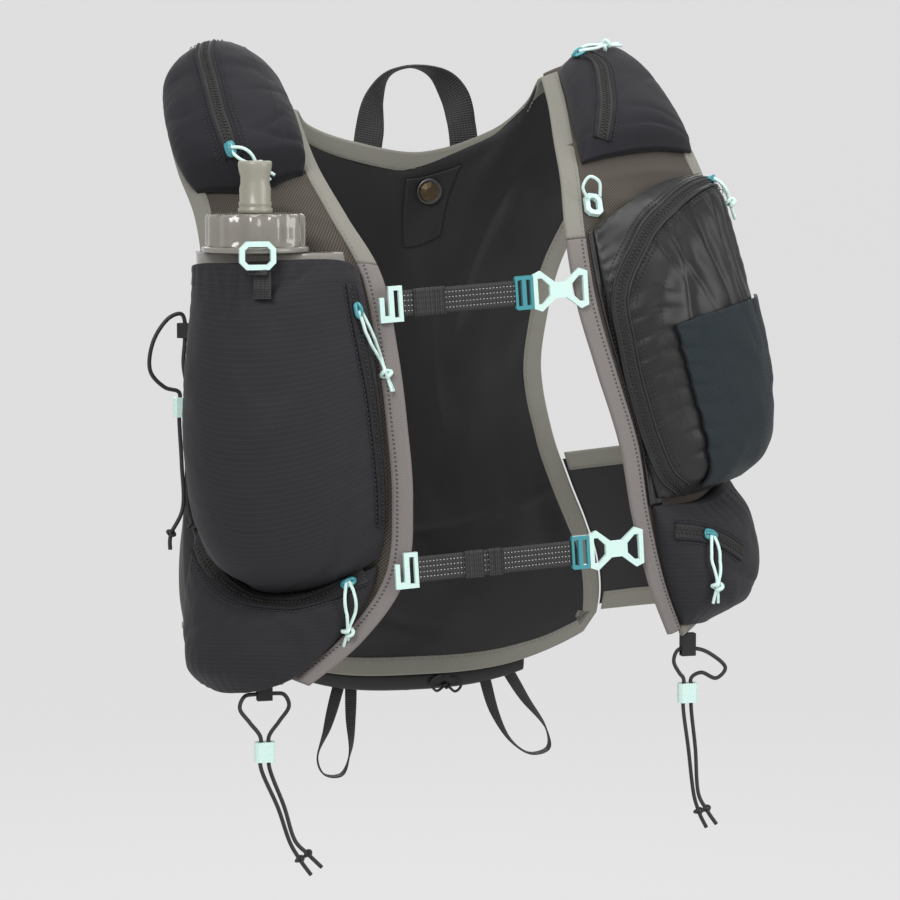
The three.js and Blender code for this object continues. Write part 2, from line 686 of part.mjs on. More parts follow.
add('bottle_pocket', cut(
  between(bottle.face(), bottle.face(POCKET_WALL), BOTTLE_COLUMNS, BOTTLE_ROWS),
  room(SIDES.left.armhole, TAPE),
), NAVY_CLOTH);

const lowerLeft = pocket(leftPanel, 1, LOWER_LEFT_HIGH, {
  rise: 0.5,
  fall: 0.4,
  sag: 24,
  sides: [
    { at: 0, from: 0.12, to: 0.92, high: 0.3 },
    { at: 0.2, from: 0.11, to: 0.92, high: 0.82 },
    { at: 0.5, from: 0.11, to: 0.92, high: 1 },
    { at: 0.85, from: 0.12, to: 0.92, high: 0.95 },
    { at: 1, from: 0.15, to: 0.9, high: 0.2 },
  ],
  ends: [
    { at: 0, top: 0.785, low: 0.975 },
    { at: 0.3, top: 0.835, low: 0.99 },
    { at: 0.6, top: 0.845, low: 0.995 },
    { at: 0.85, top: 0.805, low: 0.99 },
    { at: 1, top: 0.75, low: 0.985 },
  ],
});
add('lower_pocket_left', cut(
  between(lowerLeft.face(), lowerLeft.seat, range(8), range(6)),
  room(SIDES.left.hem, TAPE),
  room(SIDES.left.armhole, TAPE),
), NAVY_CLOTH);

const mainPocket = pocket(rightPanel, -1, MAIN_HIGH, {
  rise: 0.75,
  fall: 0.4,
  sides: [
    { at: 0, from: 0.13, to: 0.93, high: 0.15 },
    { at: 0.08, from: 0.13, to: 0.94, high: 0.5 },
    { at: 0.2, from: 0.13, to: 0.94, high: 0.72 },
    { at: 0.4, from: 0.13, to: 0.94, high: 0.88 },
    { at: 0.7, from: 0.12, to: 0.94, high: 1 },
    { at: 0.9, from: 0.13, to: 0.93, high: 0.85 },
    { at: 1, from: 0.16, to: 0.9, high: 0.25 },
  ],
  ends: [
    { at: 0, top: 0.4, low: 0.78 },
    { at: 0.25, top: 0.365, low: 0.78 },
    { at: 0.5, top: 0.335, low: 0.775 },
    { at: 0.75, top: 0.315, low: 0.77 },
    { at: 1, top: 0.3, low: 0.755 },
  ],
});
const MAIN_COLUMNS = range(8);
const MAIN_ROWS = range(10);
add('main_pocket', cut(
  between(mainPocket.face(), mainPocket.seat, MAIN_COLUMNS, MAIN_ROWS),
  room(SIDES.right.armhole, TAPE),
  room(SIDES.right.rail, RAIL),
), BLACK_CLOTH);

// The stretch mesh pocket lies on the outer half of the main pocket
const meshFace = (high) => (s, t) => onSurface(mainPocket.face(), -1, s, t, high);
add('mesh_pocket', between(
  meshFace(SEAT + POCKET_WALL),
  meshFace(SEAT),
  MAIN_COLUMNS.slice(2, -1),
  MAIN_ROWS.slice(4, -1),
), STRETCH_MESH);

const lowerRight = pocket(rightPanel, -1, LOWER_RIGHT_HIGH, {
  rise: 0.5,
  fall: 0.34,
  sides: [
    { at: 0, from: 0.12, to: 0.92, high: 0.25 },
    { at: 0.2, from: 0.115, to: 0.93, high: 0.8 },
    { at: 0.5, from: 0.11, to: 0.93, high: 1 },
    { at: 0.8, from: 0.12, to: 0.92, high: 0.86 },
    { at: 1, from: 0.15, to: 0.9, high: 0.15 },
  ],
  ends: [
    { at: 0, top: 0.79, low: 0.98 },
    { at: 0.5, top: 0.795, low: 0.995 },
    { at: 1, top: 0.775, low: 0.985 },
  ],
});
add('lower_pocket_right', cut(
  between(lowerRight.face(), lowerRight.seat, range(8), range(6)),
  room(SIDES.right.hem, TAPE),
  room(SIDES.right.armhole, TAPE),
), NAVY_CLOTH);

// Rear pack: a bag sewn to the back panel, sagging a little below the hem
const rearPack = pocket(backSurface, 1, REAR_HIGH, {
  rise: 0.3,
  fall: 0.3,
  sag: REAR_SAG,
  sides: [
    { at: 0, from: 0.14, to: 0.86, high: 0.2 },
    { at: 0.1, from: 0.1, to: 0.9, high: 0.72 },
    { at: 0.35, from: 0.08, to: 0.92, high: 0.9 },
    { at: 0.7, from: 0.08, to: 0.92, high: 1 },
    { at: 0.96, from: 0.1, to: 0.9, high: 0.78 },
    { at: 1, from: 0.14, to: 0.86, high: 0.08 },
  ],
  ends: [
    { at: 0, top: 0.14, low: 0.93 },
    { at: 0.5, top: 0.1, low: 0.97 },
    { at: 1, top: 0.14, low: 0.93 },
  ],
});
const REAR_ROWS = [0, 0.06, 0.2, 0.4, 0.6, 0.78, 0.9, 0.96, 0.98, 1];
add('rear_pack', between(
  rearPack.face(),
  rearPack.face(POCKET_WALL),
  range(10),
  REAR_ROWS,
), BLACK_CLOTH);

// Soft flask: a filled pouch inside the bottle pocket, with a wide collar and a bite nozzle
const COLLAR_PLACE = [0.55, 0.389];
const COLLAR_REACH = 33;
const COLLAR_SEAT = onSurface(leftPanel, 1, ...COLLAR_PLACE, COLLAR_REACH);
const flaskFace = (filled) => (s, t) => {
  const inner = bottle.height(s, t) - POCKET_WALL - SEAT;
  const high = filled ? Math.max(3 * SEAT, inner * (1 - 0.6 * clamp(t, 0, 1) ** 6)) : 2 * SEAT;
  return onSurface(leftPanel, 1, ...bottle.place(s, t), high);
};
const pouch = between(
  flaskFace(true),
  flaskFace(false),
  BOTTLE_COLUMNS.slice(1, -1),
  [-0.1, ...BOTTLE_ROWS.slice(0, -2)],
);
const aboveCollar = new THREE.BoxGeometry(HALF_WIDTH, HALF_WIDTH, COLLAR_RADIUS * 2);
aboveCollar.translate(COLLAR_SEAT.x, COLLAR_SEAT.y, COLLAR_SEAT.z + COLLAR_RADIUS - GAP);
add('flask_body', cut(pouch, aboveCollar), FLASK_FILM);

// A solid of revolution standing on a point, from [radius, height] pairs
function turnedSolid(profile, foot, sides, axis = Z) {
  const geometry = new THREE.LatheGeometry(profile.map(([r, h]) => new THREE.Vector2(r, h)), sides);
  geometry.applyQuaternion(new THREE.Quaternion().setFromUnitVectors(Y, axis));
  return geometry.translate(foot.x, foot.y, foot.z);
}
add('flask_collar', turnedSolid([
  [0, 0],
  [FLANGE_RADIUS, 0],
  [FLANGE_RADIUS, FLANGE_HIGH],
  [COLLAR_RADIUS, FLANGE_HIGH],
  [COLLAR_RADIUS, COLLAR_HIGH - FLANGE_HIGH / 2],
  [COLLAR_RADIUS - FLANGE_HIGH / 2, COLLAR_HIGH],
  [0, COLLAR_HIGH],
], COLLAR_SEAT, 14), FLASK_COLLAR);
add('flask_nozzle', turnedSolid([
  [0, 0],
  [NOZZLE_RADIUS, 0],
  [NOZZLE_RADIUS, NOZZLE_HIGH * 0.12],
  [NOZZLE_RADIUS * 0.9, NOZZLE_HIGH * 0.18],
  [NOZZLE_RADIUS * 0.86, NOZZLE_HIGH * 0.72],
  [NOZZLE_RADIUS, NOZZLE_HIGH * 0.92],
  [NOZZLE_RADIUS * 0.95, NOZZLE_HIGH],
  [0, NOZZLE_HIGH],
], COLLAR_SEAT.clone().add(vec(0, 0, COLLAR_HIGH + GAP)), 8), FLASK_FILM);

// Haul loop: both feet lie on the back panel's outer face; the strap turns over its arch
const HAUL_LINE = [
  vec(-36.5, 36, -66),
  vec(-36.5, 34.7, -57),
  vec(-35.5, 34.1, -48),
  vec(-33.5, 35.3, -36),
  vec(-29, 38.8, -14),
  vec(-18, 42, 2),
  vec(-2, 43.5, 7),
  vec(13.5, 42, 2),
  vec(24.5, 39, -12),
  vec(28.5, 35.8, -31),
  vec(29.5, 34.3, -43),
  vec(30, 35, -52),
  vec(30, 35.8, -60),
];
const haulAcross = (place) => {
  const turn = Math.PI * clamp((place - 0.18) / 0.64, 0, 1);
  return vec(Math.cos(turn), Math.sin(turn), 0);
};
add('haul_loop', ribbon(HAUL_LINE, haulAcross, HAUL_WIDTH, HAUL_THICK, 18), BLACK_WEBBING);

// Pole loops: flat bands that hang from under the rear pack. line is offsets from a foot on its hem.
const POLE_FOOT_ROW = 0.98;
const POLE_LOOPS = {
  left: {
    foot: 0.25,
    line: [
      vec(1.3, 0.2, 0), vec(-8.7, -5.8, -29), vec(-16.7, -10.8, -49), vec(-12.7, -12.8, -59),
      vec(-0.7, -11.8, -60), vec(6.3, -7.8, -46), vec(8.3, -1.8, -23), vec(9.3, 1.2, -1.6),
    ],
  },
  right: {
    foot: 0.78,
    line: [
      vec(-0.2, 0.5, -0.8), vec(6.8, -4.5, -28.8), vec(16.8, -9.5, -47.8), vec(29.8, -11.5, -56.8),
      vec(42.8, -10.5, -53.8), vec(41.8, -8.5, -40.8), vec(26.8, -5.5, -18.8), vec(12.8, -2.5, 5),
    ],
  },
};
for (const [name, { foot, line }] of Object.entries(POLE_LOOPS)) {
  const hem = rearPack.face()(foot, POLE_FOOT_ROW);
  add(`pole_loop_${name}`, ribbon(
    line.map((offset) => hem.clone().add(offset)),
    () => Y,
    POLE_WIDTH,
    POLE_THICK,
    16,
  ), BLACK_WEBBING);
}

// Flat plates: an outline with windows, extruded, then laid at a place along two directions
function plate(outline, windows, thick) {
  const path = (rows) => rows.map(([x, y]) => new THREE.Vector2(x, y));
  const shape = new THREE.Shape(path(outline));
  shape.holes = windows.map((rows) => new THREE.Path(path(rows)));
  return new THREE.ExtrudeGeometry(shape, { depth: thick, bevelEnabled: false, curveSegments: 6 })
    .translate(0, 0, -thick / 2);
}
const box = (x0, y0, x1, y1) => [[x0, y0], [x1, y0], [x1, y1], [x0, y1]];
const mirrored = (rows) => rows.map(([x, y]) => [-x, y]).reverse();
const clipped = (x, y, c) => [
  [-x + c, -y], [x - c, -y], [x, -y + c], [x, y - c], [x - c, y], [-x + c, y], [-x, y - c], [-x, -y + c],
];

function laid(geometry, centre, right, up) {
  const x = right.clone().normalize();
  const y = up.clone().addScaledVector(x, -up.dot(x)).normalize();
  return geometry.applyMatrix4(new THREE.Matrix4().makeBasis(x, y, x.clone().cross(y)).setPosition(centre));
}

// Buckles: outlines as shares of their own length and height
const HOOK_OUTLINE = [
  [-0.5, -0.5], [0.5, -0.5], [0.5, 0.5], [-0.1, 0.5], [-0.1, -0.32], [-0.3, -0.32], [-0.3, 0.2], [-0.5, 0.2],
].map(([x, y]) => [x * HOOK_LONG, y * HOOK_TALL]);
const HOOK_WINDOW = box(0.12 * HOOK_LONG, -0.38 * HOOK_TALL, 0.34 * HOOK_LONG, 0.38 * HOOK_TALL);
const CROSS_OUTLINE = [
  [-0.5, -0.42], [-0.36, -0.5], [-0.1, -0.2], [0.1, -0.2], [0.36, -0.5], [0.5, -0.42],
  [0.5, 0.42], [0.36, 0.5], [0.1, 0.2], [-0.1, 0.2], [-0.36, 0.5], [-0.5, 0.42],
].map(([x, y]) => [x * CROSS_LONG, y * CROSS_TALL]);
const CROSS_WINDOW = [
  [0.2, -0.12], [0.34, -0.32], [0.42, -0.32], [0.42, 0.32], [0.34, 0.32], [0.2, 0.12],
].map(([x, y]) => [x * CROSS_LONG, y * CROSS_TALL]);
const FRAME_OUTLINE = clipped(FRAME_LONG / 2, FRAME_TALL / 2, BAR / 3);
const FRAME_WINDOW = [[0.12, -0.39], [0.36, -0.37], [0.36, 0.37], [0.12, 0.39]]
  .map(([x, y]) => [x * FRAME_LONG, y * FRAME_TALL]);

// Chest straps run from the left rail to the right one. left and right are places down the rails;
// hook and cross are how far those pieces reach past the rail's edge.
const CHEST_STRAPS = {
  upper: { left: 0.443, right: 0.48, hook: 0, cross: 6 },
  lower: { left: 0.789, right: 0.842, hook: -1, cross: -2 },
};
const STRAP_LIFT = 4.4;
for (const [name, strap] of Object.entries(CHEST_STRAPS)) {
  const start = onSurface(leftPanel, 1, 0, strap.left, STRAP_LIFT);
  const end = onSurface(rightPanel, -1, 0, strap.right, STRAP_LIFT);
  const along = end.clone().sub(start).normalize();
  const reach = start.distanceTo(end);
  const at = (distance) => start.clone().addScaledVector(along, distance);
  const crossAt = reach + strap.cross - CROSS_LONG / 2;
  const frameAt = crossAt - CROSS_LONG / 2 - GAP - FRAME_LONG / 2;
  const webFrom = strap.hook + HOOK_LONG / 2 + GAP;
  const webTo = frameAt - FRAME_LONG / 2 - GAP;
  add(`sternum_strap_${name}`, ribbon(
    [at(webFrom), at((webFrom + webTo) / 2), at(webTo)],
    () => Z,
    WEBBING_WIDTH,
    WEBBING_THICK,
    4,
  ), BLACK_WEBBING);
  add(`g_hook_${name}`, laid(
    plate(HOOK_OUTLINE, [HOOK_WINDOW], PLATE_THICK),
    at(strap.hook),
    along,
    Z,
  ), MINT_PLASTIC);
  add(`buckle_frame_${name}`, laid(
    plate(FRAME_OUTLINE, [FRAME_WINDOW, mirrored(FRAME_WINDOW)], PLATE_THICK),
    at(frameAt),
    along,
    Z,
  ), TEAL_PLASTIC);
  add(`cross_plate_${name}`, laid(
    plate(CROSS_OUTLINE, [CROSS_WINDOW, mirrored(CROSS_WINDOW)], PLATE_THICK),
    at(crossAt),
    along,
    Z,
  ), MINT_PLASTIC);
}

// Zips. Each lies on a pocket along a line of (s, t) places; slider is the slider's share of it
// and pull the (s, t) place where its cord loop ends.
const ZIPS = {
  shoulder_left: {
    pocket: shoulderLeft, grid: [8, 9], outward: 1, slider: 0.93, pull: [0.44, 0.96],
    line: [[0.62, 0.12], [0.59, 0.4], [0.585, 0.62], [0.58, 0.93]],
  },
  bottle_left: {
    pocket: bottle, grid: [8, 10], outward: 1, slider: 0.12, pull: [0.06, 0.3],
    line: [[0.075, 0.11], [0.07, 0.3], [0.065, 0.5], [0.07, 0.84]],
  },
  lower_left: {
    pocket: lowerLeft, grid: [8, 6], outward: 1, slider: 0.9, pull: [0.08, 0.5],
    line: [[0.92, 0.075], [0.82, 0.075], [0.64, 0.08], [0.44, 0.09], [0.28, 0.12], [0.12, 0.1]],
  },
  shoulder_right: {
    pocket: shoulderRight, grid: [8, 8], outward: -1, slider: 0.1, pull: [0.5, 0.15],
    line: [[0.34, 0.17], [0.3, 0.42], [0.24, 0.65], [0.18, 0.88]],
  },
  main: {
    pocket: mainPocket, grid: [8, 10], outward: -1, slider: 0.12, pull: [0.84, 0.13],
    line: [[0.78, 0.08], [0.435, 0.12], [0.22, 0.17], [0.1, 0.27], [0.075, 0.44], [0.07, 0.62], [0.075, 0.78],
      [0.1, 0.9]],
  },
  lower_right: {
    pocket: lowerRight, grid: [8, 6], outward: -1, slider: 0.42, pull: [0.24, 0.6],
    line: [[0.09, 0.185], [0.185, 0.21], [0.32, 0.27], [0.465, 0.38]],
  },
};
const halo = ({ pocket: { face, seat }, grid: [columns, rows] }) => (
  between(face(-GAP), seat, range(columns), range(rows))
);

for (const [name, zip] of Object.entries(ZIPS)) {
  const { pocket: { face }, outward, line } = zip;
  const path = new THREE.CatmullRomCurve3(line.map(([s, t]) => vec(s, t, 0)), false, 'centripetal');
  const pointAt = (share, high) => {
    const { x: s, y: t } = path.getPoint(share);
    return onSurface(face(), outward, s, t, high);
  };
  const ringAt = (share, high, low, width) => {
    const { x: s, y: t } = path.getPoint(share);
    const normal = normalAt(face(), s, t, outward);
    const along = pointAt(Math.min(1, share + 0.02), 0).sub(pointAt(Math.max(0, share - 0.02), 0));
    const across = normal.clone().cross(along).normalize();
    const corner = (a, b) => pointAt(share, b).addScaledVector(across, a * width / 2);
    return [corner(-1, low), corner(1, low), corner(1, high), corner(-1, high)];
  };
  const strip = throughRings(range(7).map((share) => ringAt(share, GAP + ZIP_THICK, -ZIP_SINK, ZIP_WIDTH)));
  const half = SLIDER_LONG / 2 / pointAt(0, 0).distanceTo(pointAt(1, 0));
  const slider = throughRings([zip.slider - half, zip.slider + half].map((share) => (
    ringAt(share, GAP + ZIP_THICK + SLIDER_THICK / 2, ZIP_THICK / 2, SLIDER_WIDTH)
  )));
  add(`zip_${name}`, cut(join(strip, slider), halo(zip)), ZIP_TAPE);

  const start = path.getPoint(zip.slider);
  const finish = vec(...zip.pull, 0);
  const lift = ZIP_THICK + SLIDER_THICK / 2 + 4 * GAP + PULL_CORD / 2;
  const side = (share, off) => {
    const at = mix(start, finish, share);
    const ahead = mix(start, finish, share + 0.05);
    const centre = onSurface(face(), outward, at.x, at.y, lift);
    const next = onSurface(face(), outward, ahead.x, ahead.y, lift);
    const across = normalAt(face(), at.x, at.y, outward).cross(next.sub(centre)).normalize();
    return centre.addScaledVector(across, off * PULL_CORD);
  };
  add(`pull_${name}`, cordTube([
    side(0, -0.8), side(0.3, -1.1), side(0.7, -1.2), side(0.95, -0.8), side(1.05, 0),
    side(0.95, 0.8), side(0.7, 1.2), side(0.3, 1.1), side(0, 0.8),
  ], PULL_CORD, 9), MINT_CORD);
}

// Cinch cords. Each hangs from a webbing tab on the vest's edge and runs through a cord lock.
// hang is the way the tab points; points are offsets from the tab's slot in millimetres.
const CINCHES = {
  low_left: {
    edge: leftPanel(0.3, 1).add(vec(0, 4, 0)), hang: vec(0, 0, -1), slot: vec(1, 0, 0), lock: vec(0, 0, -35),
    before: [vec(21, 0, -102), vec(15.4, 0, -92), vec(8, 0, -70)],
    loop: [vec(-9, 0, -17), vec(-15, 0, -8), vec(-12, 0, -1), vec(-6, 0, 0), vec(6, 0, 0), vec(12, 0, -1),
      vec(15, 0, -8), vec(9, 0, -17)],
    after: [vec(11.6, 0, -69), vec(18.6, 0, -91), vec(26, 0, -99)],
  },
  low_right: {
    edge: rightPanel(0.24, 1), hang: vec(0, 0, -1), slot: vec(1, 0, 0), lock: vec(0, 0, -27),
    before: [vec(8, 0, -102), vec(5, 0, -92), vec(1, 0, -62)],
    loop: [vec(-5, 0, -15), vec(-9, 0, -7), vec(-6, 0, 0), vec(6, 0, 0), vec(14, 0, -3),
      vec(25, 0, -13), vec(19, 0, -19), vec(9, 0, -15)],
    after: [vec(5.6, 0, -62), vec(8.2, 0, -92), vec(13, 0, -101)],
  },
  side_left: {
    edge: leftPanel(1, 0.485), hang: vec(-0.77, 0.64, 0).normalize(), slot: vec(0, 0, 1), lock: vec(-1, 1, -46),
    before: [vec(-9, 2, -122), vec(-2, 2, -108), vec(-2.4, 1, -80)],
    loop: [vec(-12, 1, -34), vec(-21, 0, -24), vec(-19, 0, -6), vec(-9, 0, 8), vec(-2, 0, 10), vec(0, 0, 6),
      vec(0, 0, -6), vec(-1, 0, -20)],
    after: [vec(0.8, 1, -78), vec(1.2, 2, -106), vec(4, 2, -118)],
  },
};
const BORE_OFF = 2.6;
const BORE = 1.9;
const lockOutline = clipped(LOCK_WIDTH / 2, LOCK_THICK / 2, 1.5);
const boreAt = (x) => range(8).slice(0, -1).map((share) => (
  [x + BORE * Math.cos(2 * Math.PI * share), BORE * Math.sin(2 * Math.PI * share)]
));
for (const [name, cinch] of Object.entries(CINCHES)) {
  const slotCentre = cinch.edge.clone().addScaledVector(cinch.hang, TAB_LONG * 0.72);
  const tabCentre = cinch.edge.clone().addScaledVector(cinch.hang, TAB_LONG / 2);
  const slotLow = -TAB_LONG / 2 + TAB_WALL;
  const half = TAB_THICK / 2 - TAB_WALL;
  const sideName = name.split('_')[1];
  const side = SIDES[sideName];
  const tab = laid(
    plate(
      box(-TAB_LONG / 2, -TAB_THICK / 2, TAB_LONG / 2, TAB_THICK / 2),
      [box(slotLow, -half, slotLow + 2 * CINCH_CORD, half)],
      TAB_WIDTH,
    ),
    tabCentre,
    cinch.hang.clone().negate(),
    cinch.hang.clone().cross(cinch.slot),
  );
  add(`tab_${name}`, cut(
    tab,
    room(side.hem, TAPE, GAP),
    room(side.armhole, TAPE, GAP),
    halo(ZIPS[`lower_${sideName}`]),
  ), BLACK_WEBBING);
  const lockCentre = slotCentre.clone().add(cinch.lock);
  add(`cord_lock_${name}`, laid(
    plate(lockOutline, [boreAt(-BORE_OFF), boreAt(BORE_OFF)], LOCK_HIGH),
    lockCentre,
    X,
    Y,
  ), MINT_PLASTIC);
  const boreLine = (x, ends) => ends.map((share) => (
    lockCentre.clone().add(vec(x, 0, share * LOCK_HIGH))
  ));
  const placed = (rows) => rows.map((row) => slotCentre.clone().add(row));
  add(`cinch_cord_${name}`, cordTube([
    ...placed(cinch.before),
    ...boreLine(-BORE_OFF, [-0.75, 0, 0.75]),
    ...placed(cinch.loop),
    ...boreLine(BORE_OFF, [0.75, 0, -0.75]),
    ...placed(cinch.after),
  ], CINCH_CORD, 33), BLACK_CORD);
}

// Small trim: the hook at the bottle pocket's mouth, the clip on the right strap and the snap
const ringPlate = (long, wide, thick) => plate(
  clipped(long / 2, wide / 2, wide / 4),
  [clipped(long / 2 - BAR, wide / 2 - BAR, wide / 8)],
  thick,
);
add('bottle_hook', laid(
  ringPlate(HOOK_LONG * 1.5, HOOK_LONG * 1.15, PLATE_THICK),
  COLLAR_SEAT.clone().add(vec(-6, -FLANGE_RADIUS - GAP - PLATE_THICK / 2, -FLANGE_HIGH / 3)),
  X,
  Z,
), MINT_PLASTIC);
const CLIP_PLACE = [0.15, 0.36];
add('strap_clip', laid(
  ringPlate(CLIP_LONG, CLIP_WIDE, PLATE_THICK),
  onSurface(rightPanel, -1, ...CLIP_PLACE, PLATE_THICK / 2),
  rightPanel(CLIP_PLACE[0], 0.375).sub(rightPanel(CLIP_PLACE[0], 0.345)),
  rightPanel(0.15, CLIP_PLACE[1]).sub(rightPanel(0.25, CLIP_PLACE[1])),
), MINT_PLASTIC);
const SNAP_PLACE = [0.54, 0.08];
add('snap', turnedSolid(
  [[0, 0], [SNAP_RADIUS, 0], [SNAP_RADIUS, SNAP_HIGH / 2], [SNAP_RADIUS / 2, SNAP_HIGH], [0, SNAP_HIGH]],
  onSurface(backSurface, 1, ...SNAP_PLACE, -CLOTH - SEAT),
  10,
  normalAt(backSurface, ...SNAP_PLACE, -1),
), BRASS);

export default vest;
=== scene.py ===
"""Looks of the running hydration vest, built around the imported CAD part. Lengths are in millimetres
until a mesh is made; the frame is the part's own: +Z up, the wearer faces -Y, +X at the wearer's left."""
import math

import bmesh
import bpy
import numpy as np
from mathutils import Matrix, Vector


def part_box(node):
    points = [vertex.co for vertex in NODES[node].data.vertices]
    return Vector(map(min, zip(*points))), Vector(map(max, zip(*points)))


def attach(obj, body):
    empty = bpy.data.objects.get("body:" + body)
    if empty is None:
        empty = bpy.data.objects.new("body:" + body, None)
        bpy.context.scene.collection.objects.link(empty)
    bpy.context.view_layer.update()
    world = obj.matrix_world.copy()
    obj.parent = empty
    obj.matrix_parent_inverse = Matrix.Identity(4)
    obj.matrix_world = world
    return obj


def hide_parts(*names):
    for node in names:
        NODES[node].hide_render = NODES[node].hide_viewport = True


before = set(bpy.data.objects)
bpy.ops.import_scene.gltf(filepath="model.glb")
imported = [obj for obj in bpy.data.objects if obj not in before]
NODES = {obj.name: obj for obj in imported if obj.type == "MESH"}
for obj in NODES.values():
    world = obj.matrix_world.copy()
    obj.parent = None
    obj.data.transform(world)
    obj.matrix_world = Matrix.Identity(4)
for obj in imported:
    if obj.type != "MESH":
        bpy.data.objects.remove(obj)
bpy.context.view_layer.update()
MM = 0.001

# Camera at the photograph's angle
AZIMUTH, ELEVATION = math.radians(-16), math.radians(6)
TARGET = Vector((-4, -50, -233)) * MM
DISTANCE = 1.875
BACK = Vector((math.sin(AZIMUTH) * math.cos(ELEVATION),
               -math.cos(AZIMUTH) * math.cos(ELEVATION),
               math.sin(ELEVATION)))
lens = bpy.data.cameras.new("camera")
lens.lens, lens.sensor_width = 120, 36
lens.clip_start, lens.clip_end = 0.05, 60
camera = bpy.data.objects.new("camera", lens)
camera.rotation_mode = "QUATERNION"
camera.location = TARGET + BACK * DISTANCE
camera.rotation_quaternion = (-BACK).to_track_quat("-Z", "Y")
bpy.context.scene.collection.objects.link(camera)
bpy.context.scene.camera = camera

# Driving sizes, as in the CAD part
HALF_WIDTH, CHEST_REACH, BACK_REACH, BODY_HEIGHT = 185, 160, 50, 390
CLOTH, POCKET_WALL = 2.4, 1.6
TAPE_WIDTH, TAPE_THICK = 12.5, 3.4
RAIL_WIDTH, RAIL_THICK = 12.5, 4.2
SEAM_EDGE, SEAT = 1.6, 0.85
WEBBING_WIDTH, WEBBING_THICK = 15, 1.8
HAUL_WIDTH, HAUL_THICK = 19, 2.2
POLE_WIDTH, POLE_THICK = 8, 1.2
ZIP_WIDTH = 9
PULL_CORD, CINCH_CORD = 2, 2.5
LOCK_HIGH = 12
TAB_LONG = 14
HOOK_LONG, FRAME_LONG, CROSS_LONG = 14, 11, 34
COLLAR_RADIUS, COLLAR_HIGH = 29, 22
FLANGE_RADIUS, FLANGE_HIGH = 31, 3
NOZZLE_RADIUS = 10
GAP = 0.3
UP = np.array([0.0, 0.0, 1.0])


# Numbers
def arr(x):
    return np.asarray(x, float)


def unit(v):
    return v / np.maximum(np.linalg.norm(v, axis=-1, keepdims=True), 1e-12)


def dot(a, b):
    return (a * b).sum(-1, keepdims=True)


def column(rows, key, at):
    """A smooth value of one column of a table whose rows are sorted by their first number."""
    rows = arr(rows)
    x, y = rows[:, 0], rows[:, key]
    last = len(x) - 1
    low, high = np.maximum(np.arange(last + 1) - 1, 0), np.minimum(np.arange(last + 1) + 1, last)
    slope = (y[high] - y[low]) / (x[high] - x[low])
    at = np.clip(at, x[0], x[-1])
    i = np.clip(np.searchsorted(x, at, side="left") - 1, 0, last - 1)
    step = x[i + 1] - x[i]
    t = (at - x[i]) / step
    t2, t3 = t * t, t * t * t
    return ((2 * t3 - 3 * t2 + 1) * y[i] + (t3 - 2 * t2 + t) * step * slope[i]
            + (3 * t2 - 2 * t3) * y[i + 1] + (t3 - t2) * step * slope[i + 1])


def noise(x, y, seed):
    """Smooth noise from -1 to 1, the same in every run."""
    def corner(i, j):
        h = np.sin(i * 127.1 + j * 311.7 + seed * 74.7) * 43758.5453
        return h - np.floor(h)
    i, j = np.floor(x), np.floor(y)
    f, g = x - i, y - j
    f, g = f * f * (3 - 2 * f), g * g * (3 - 2 * g)
    low = corner(i, j) * (1 - f) + corner(i + 1, j) * f
    high = corner(i, j + 1) * (1 - f) + corner(i + 1, j + 1) * f
    return 2 * (low * (1 - g) + high * g) - 1


def dome(s, rise, fall):
    full = rise / (rise + fall)
    shape = lambda k: np.clip(k, 0, 1) ** rise * np.clip(1 - k, 0, 1) ** fall
    return shape(s) / shape(full)


def run_of(line):
    """How far along a line each of its points lies."""
    return np.concatenate([[0], np.cumsum(np.linalg.norm(np.diff(line, axis=0), axis=1))])


def spline(points, count):
    """Points at even steps along a smooth centripetal curve through the given ones."""
    p = arr(points)
    p = np.concatenate([[2 * p[0] - p[1]], p, [2 * p[-1] - p[-2]]])
    t = np.linspace(0, 1, 24, endpoint=False)[:, None]
    fine = []
    for p0, p1, p2, p3 in zip(p, p[1:], p[2:], p[3:]):
        d0, d1, d2 = (max(np.linalg.norm(b - a), 1e-4) ** 0.5 for a, b in ((p0, p1), (p1, p2), (p2, p3)))
        m1 = ((p1 - p0) / d0 - (p2 - p0) / (d0 + d1) + (p2 - p1) / d1) * d1
        m2 = ((p2 - p1) / d1 - (p3 - p1) / (d1 + d2) + (p3 - p2) / d2) * d1
        fine.append(p1 + m1 * t + (-3 * p1 + 3 * p2 - 2 * m1 - m2) * t ** 2
                    + (2 * p1 - 2 * p2 + m1 + m2) * t ** 3)
    fine = np.concatenate(fine + [p[-2:-1]])
    length = run_of(fine)
    at = np.linspace(0, length[-1], count)
    return np.stack([np.interp(at, length, fine[:, k]) for k in range(p.shape[1])], -1)


def slopes(line):
    return unit(np.gradient(arr(line), axis=0))


def ridge(a, b, turn, long, wide, deep, bend=0):
    """The height of a long crease, deep at its middle, at (a, b) millimetres from there."""
    along = a * math.cos(turn) + b * math.sin(turn)
    off = b * math.cos(turn) - a * math.sin(turn) + bend
    return deep * np.exp(-(along / long) ** 2) / (1 + (off / wide) ** 2)


def put(name, data):
    """A new object in the scene."""
    ob = bpy.data.objects.new(name, data)
    bpy.context.scene.collection.objects.link(ob)
    return ob


def dressed(ob, slot, nodes):
    """Ties a piece to the part's one body and hides the CAD pieces it stands for; slot is not used."""
    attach(ob, "root")
    if nodes:
        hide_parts(*nodes)
    return ob


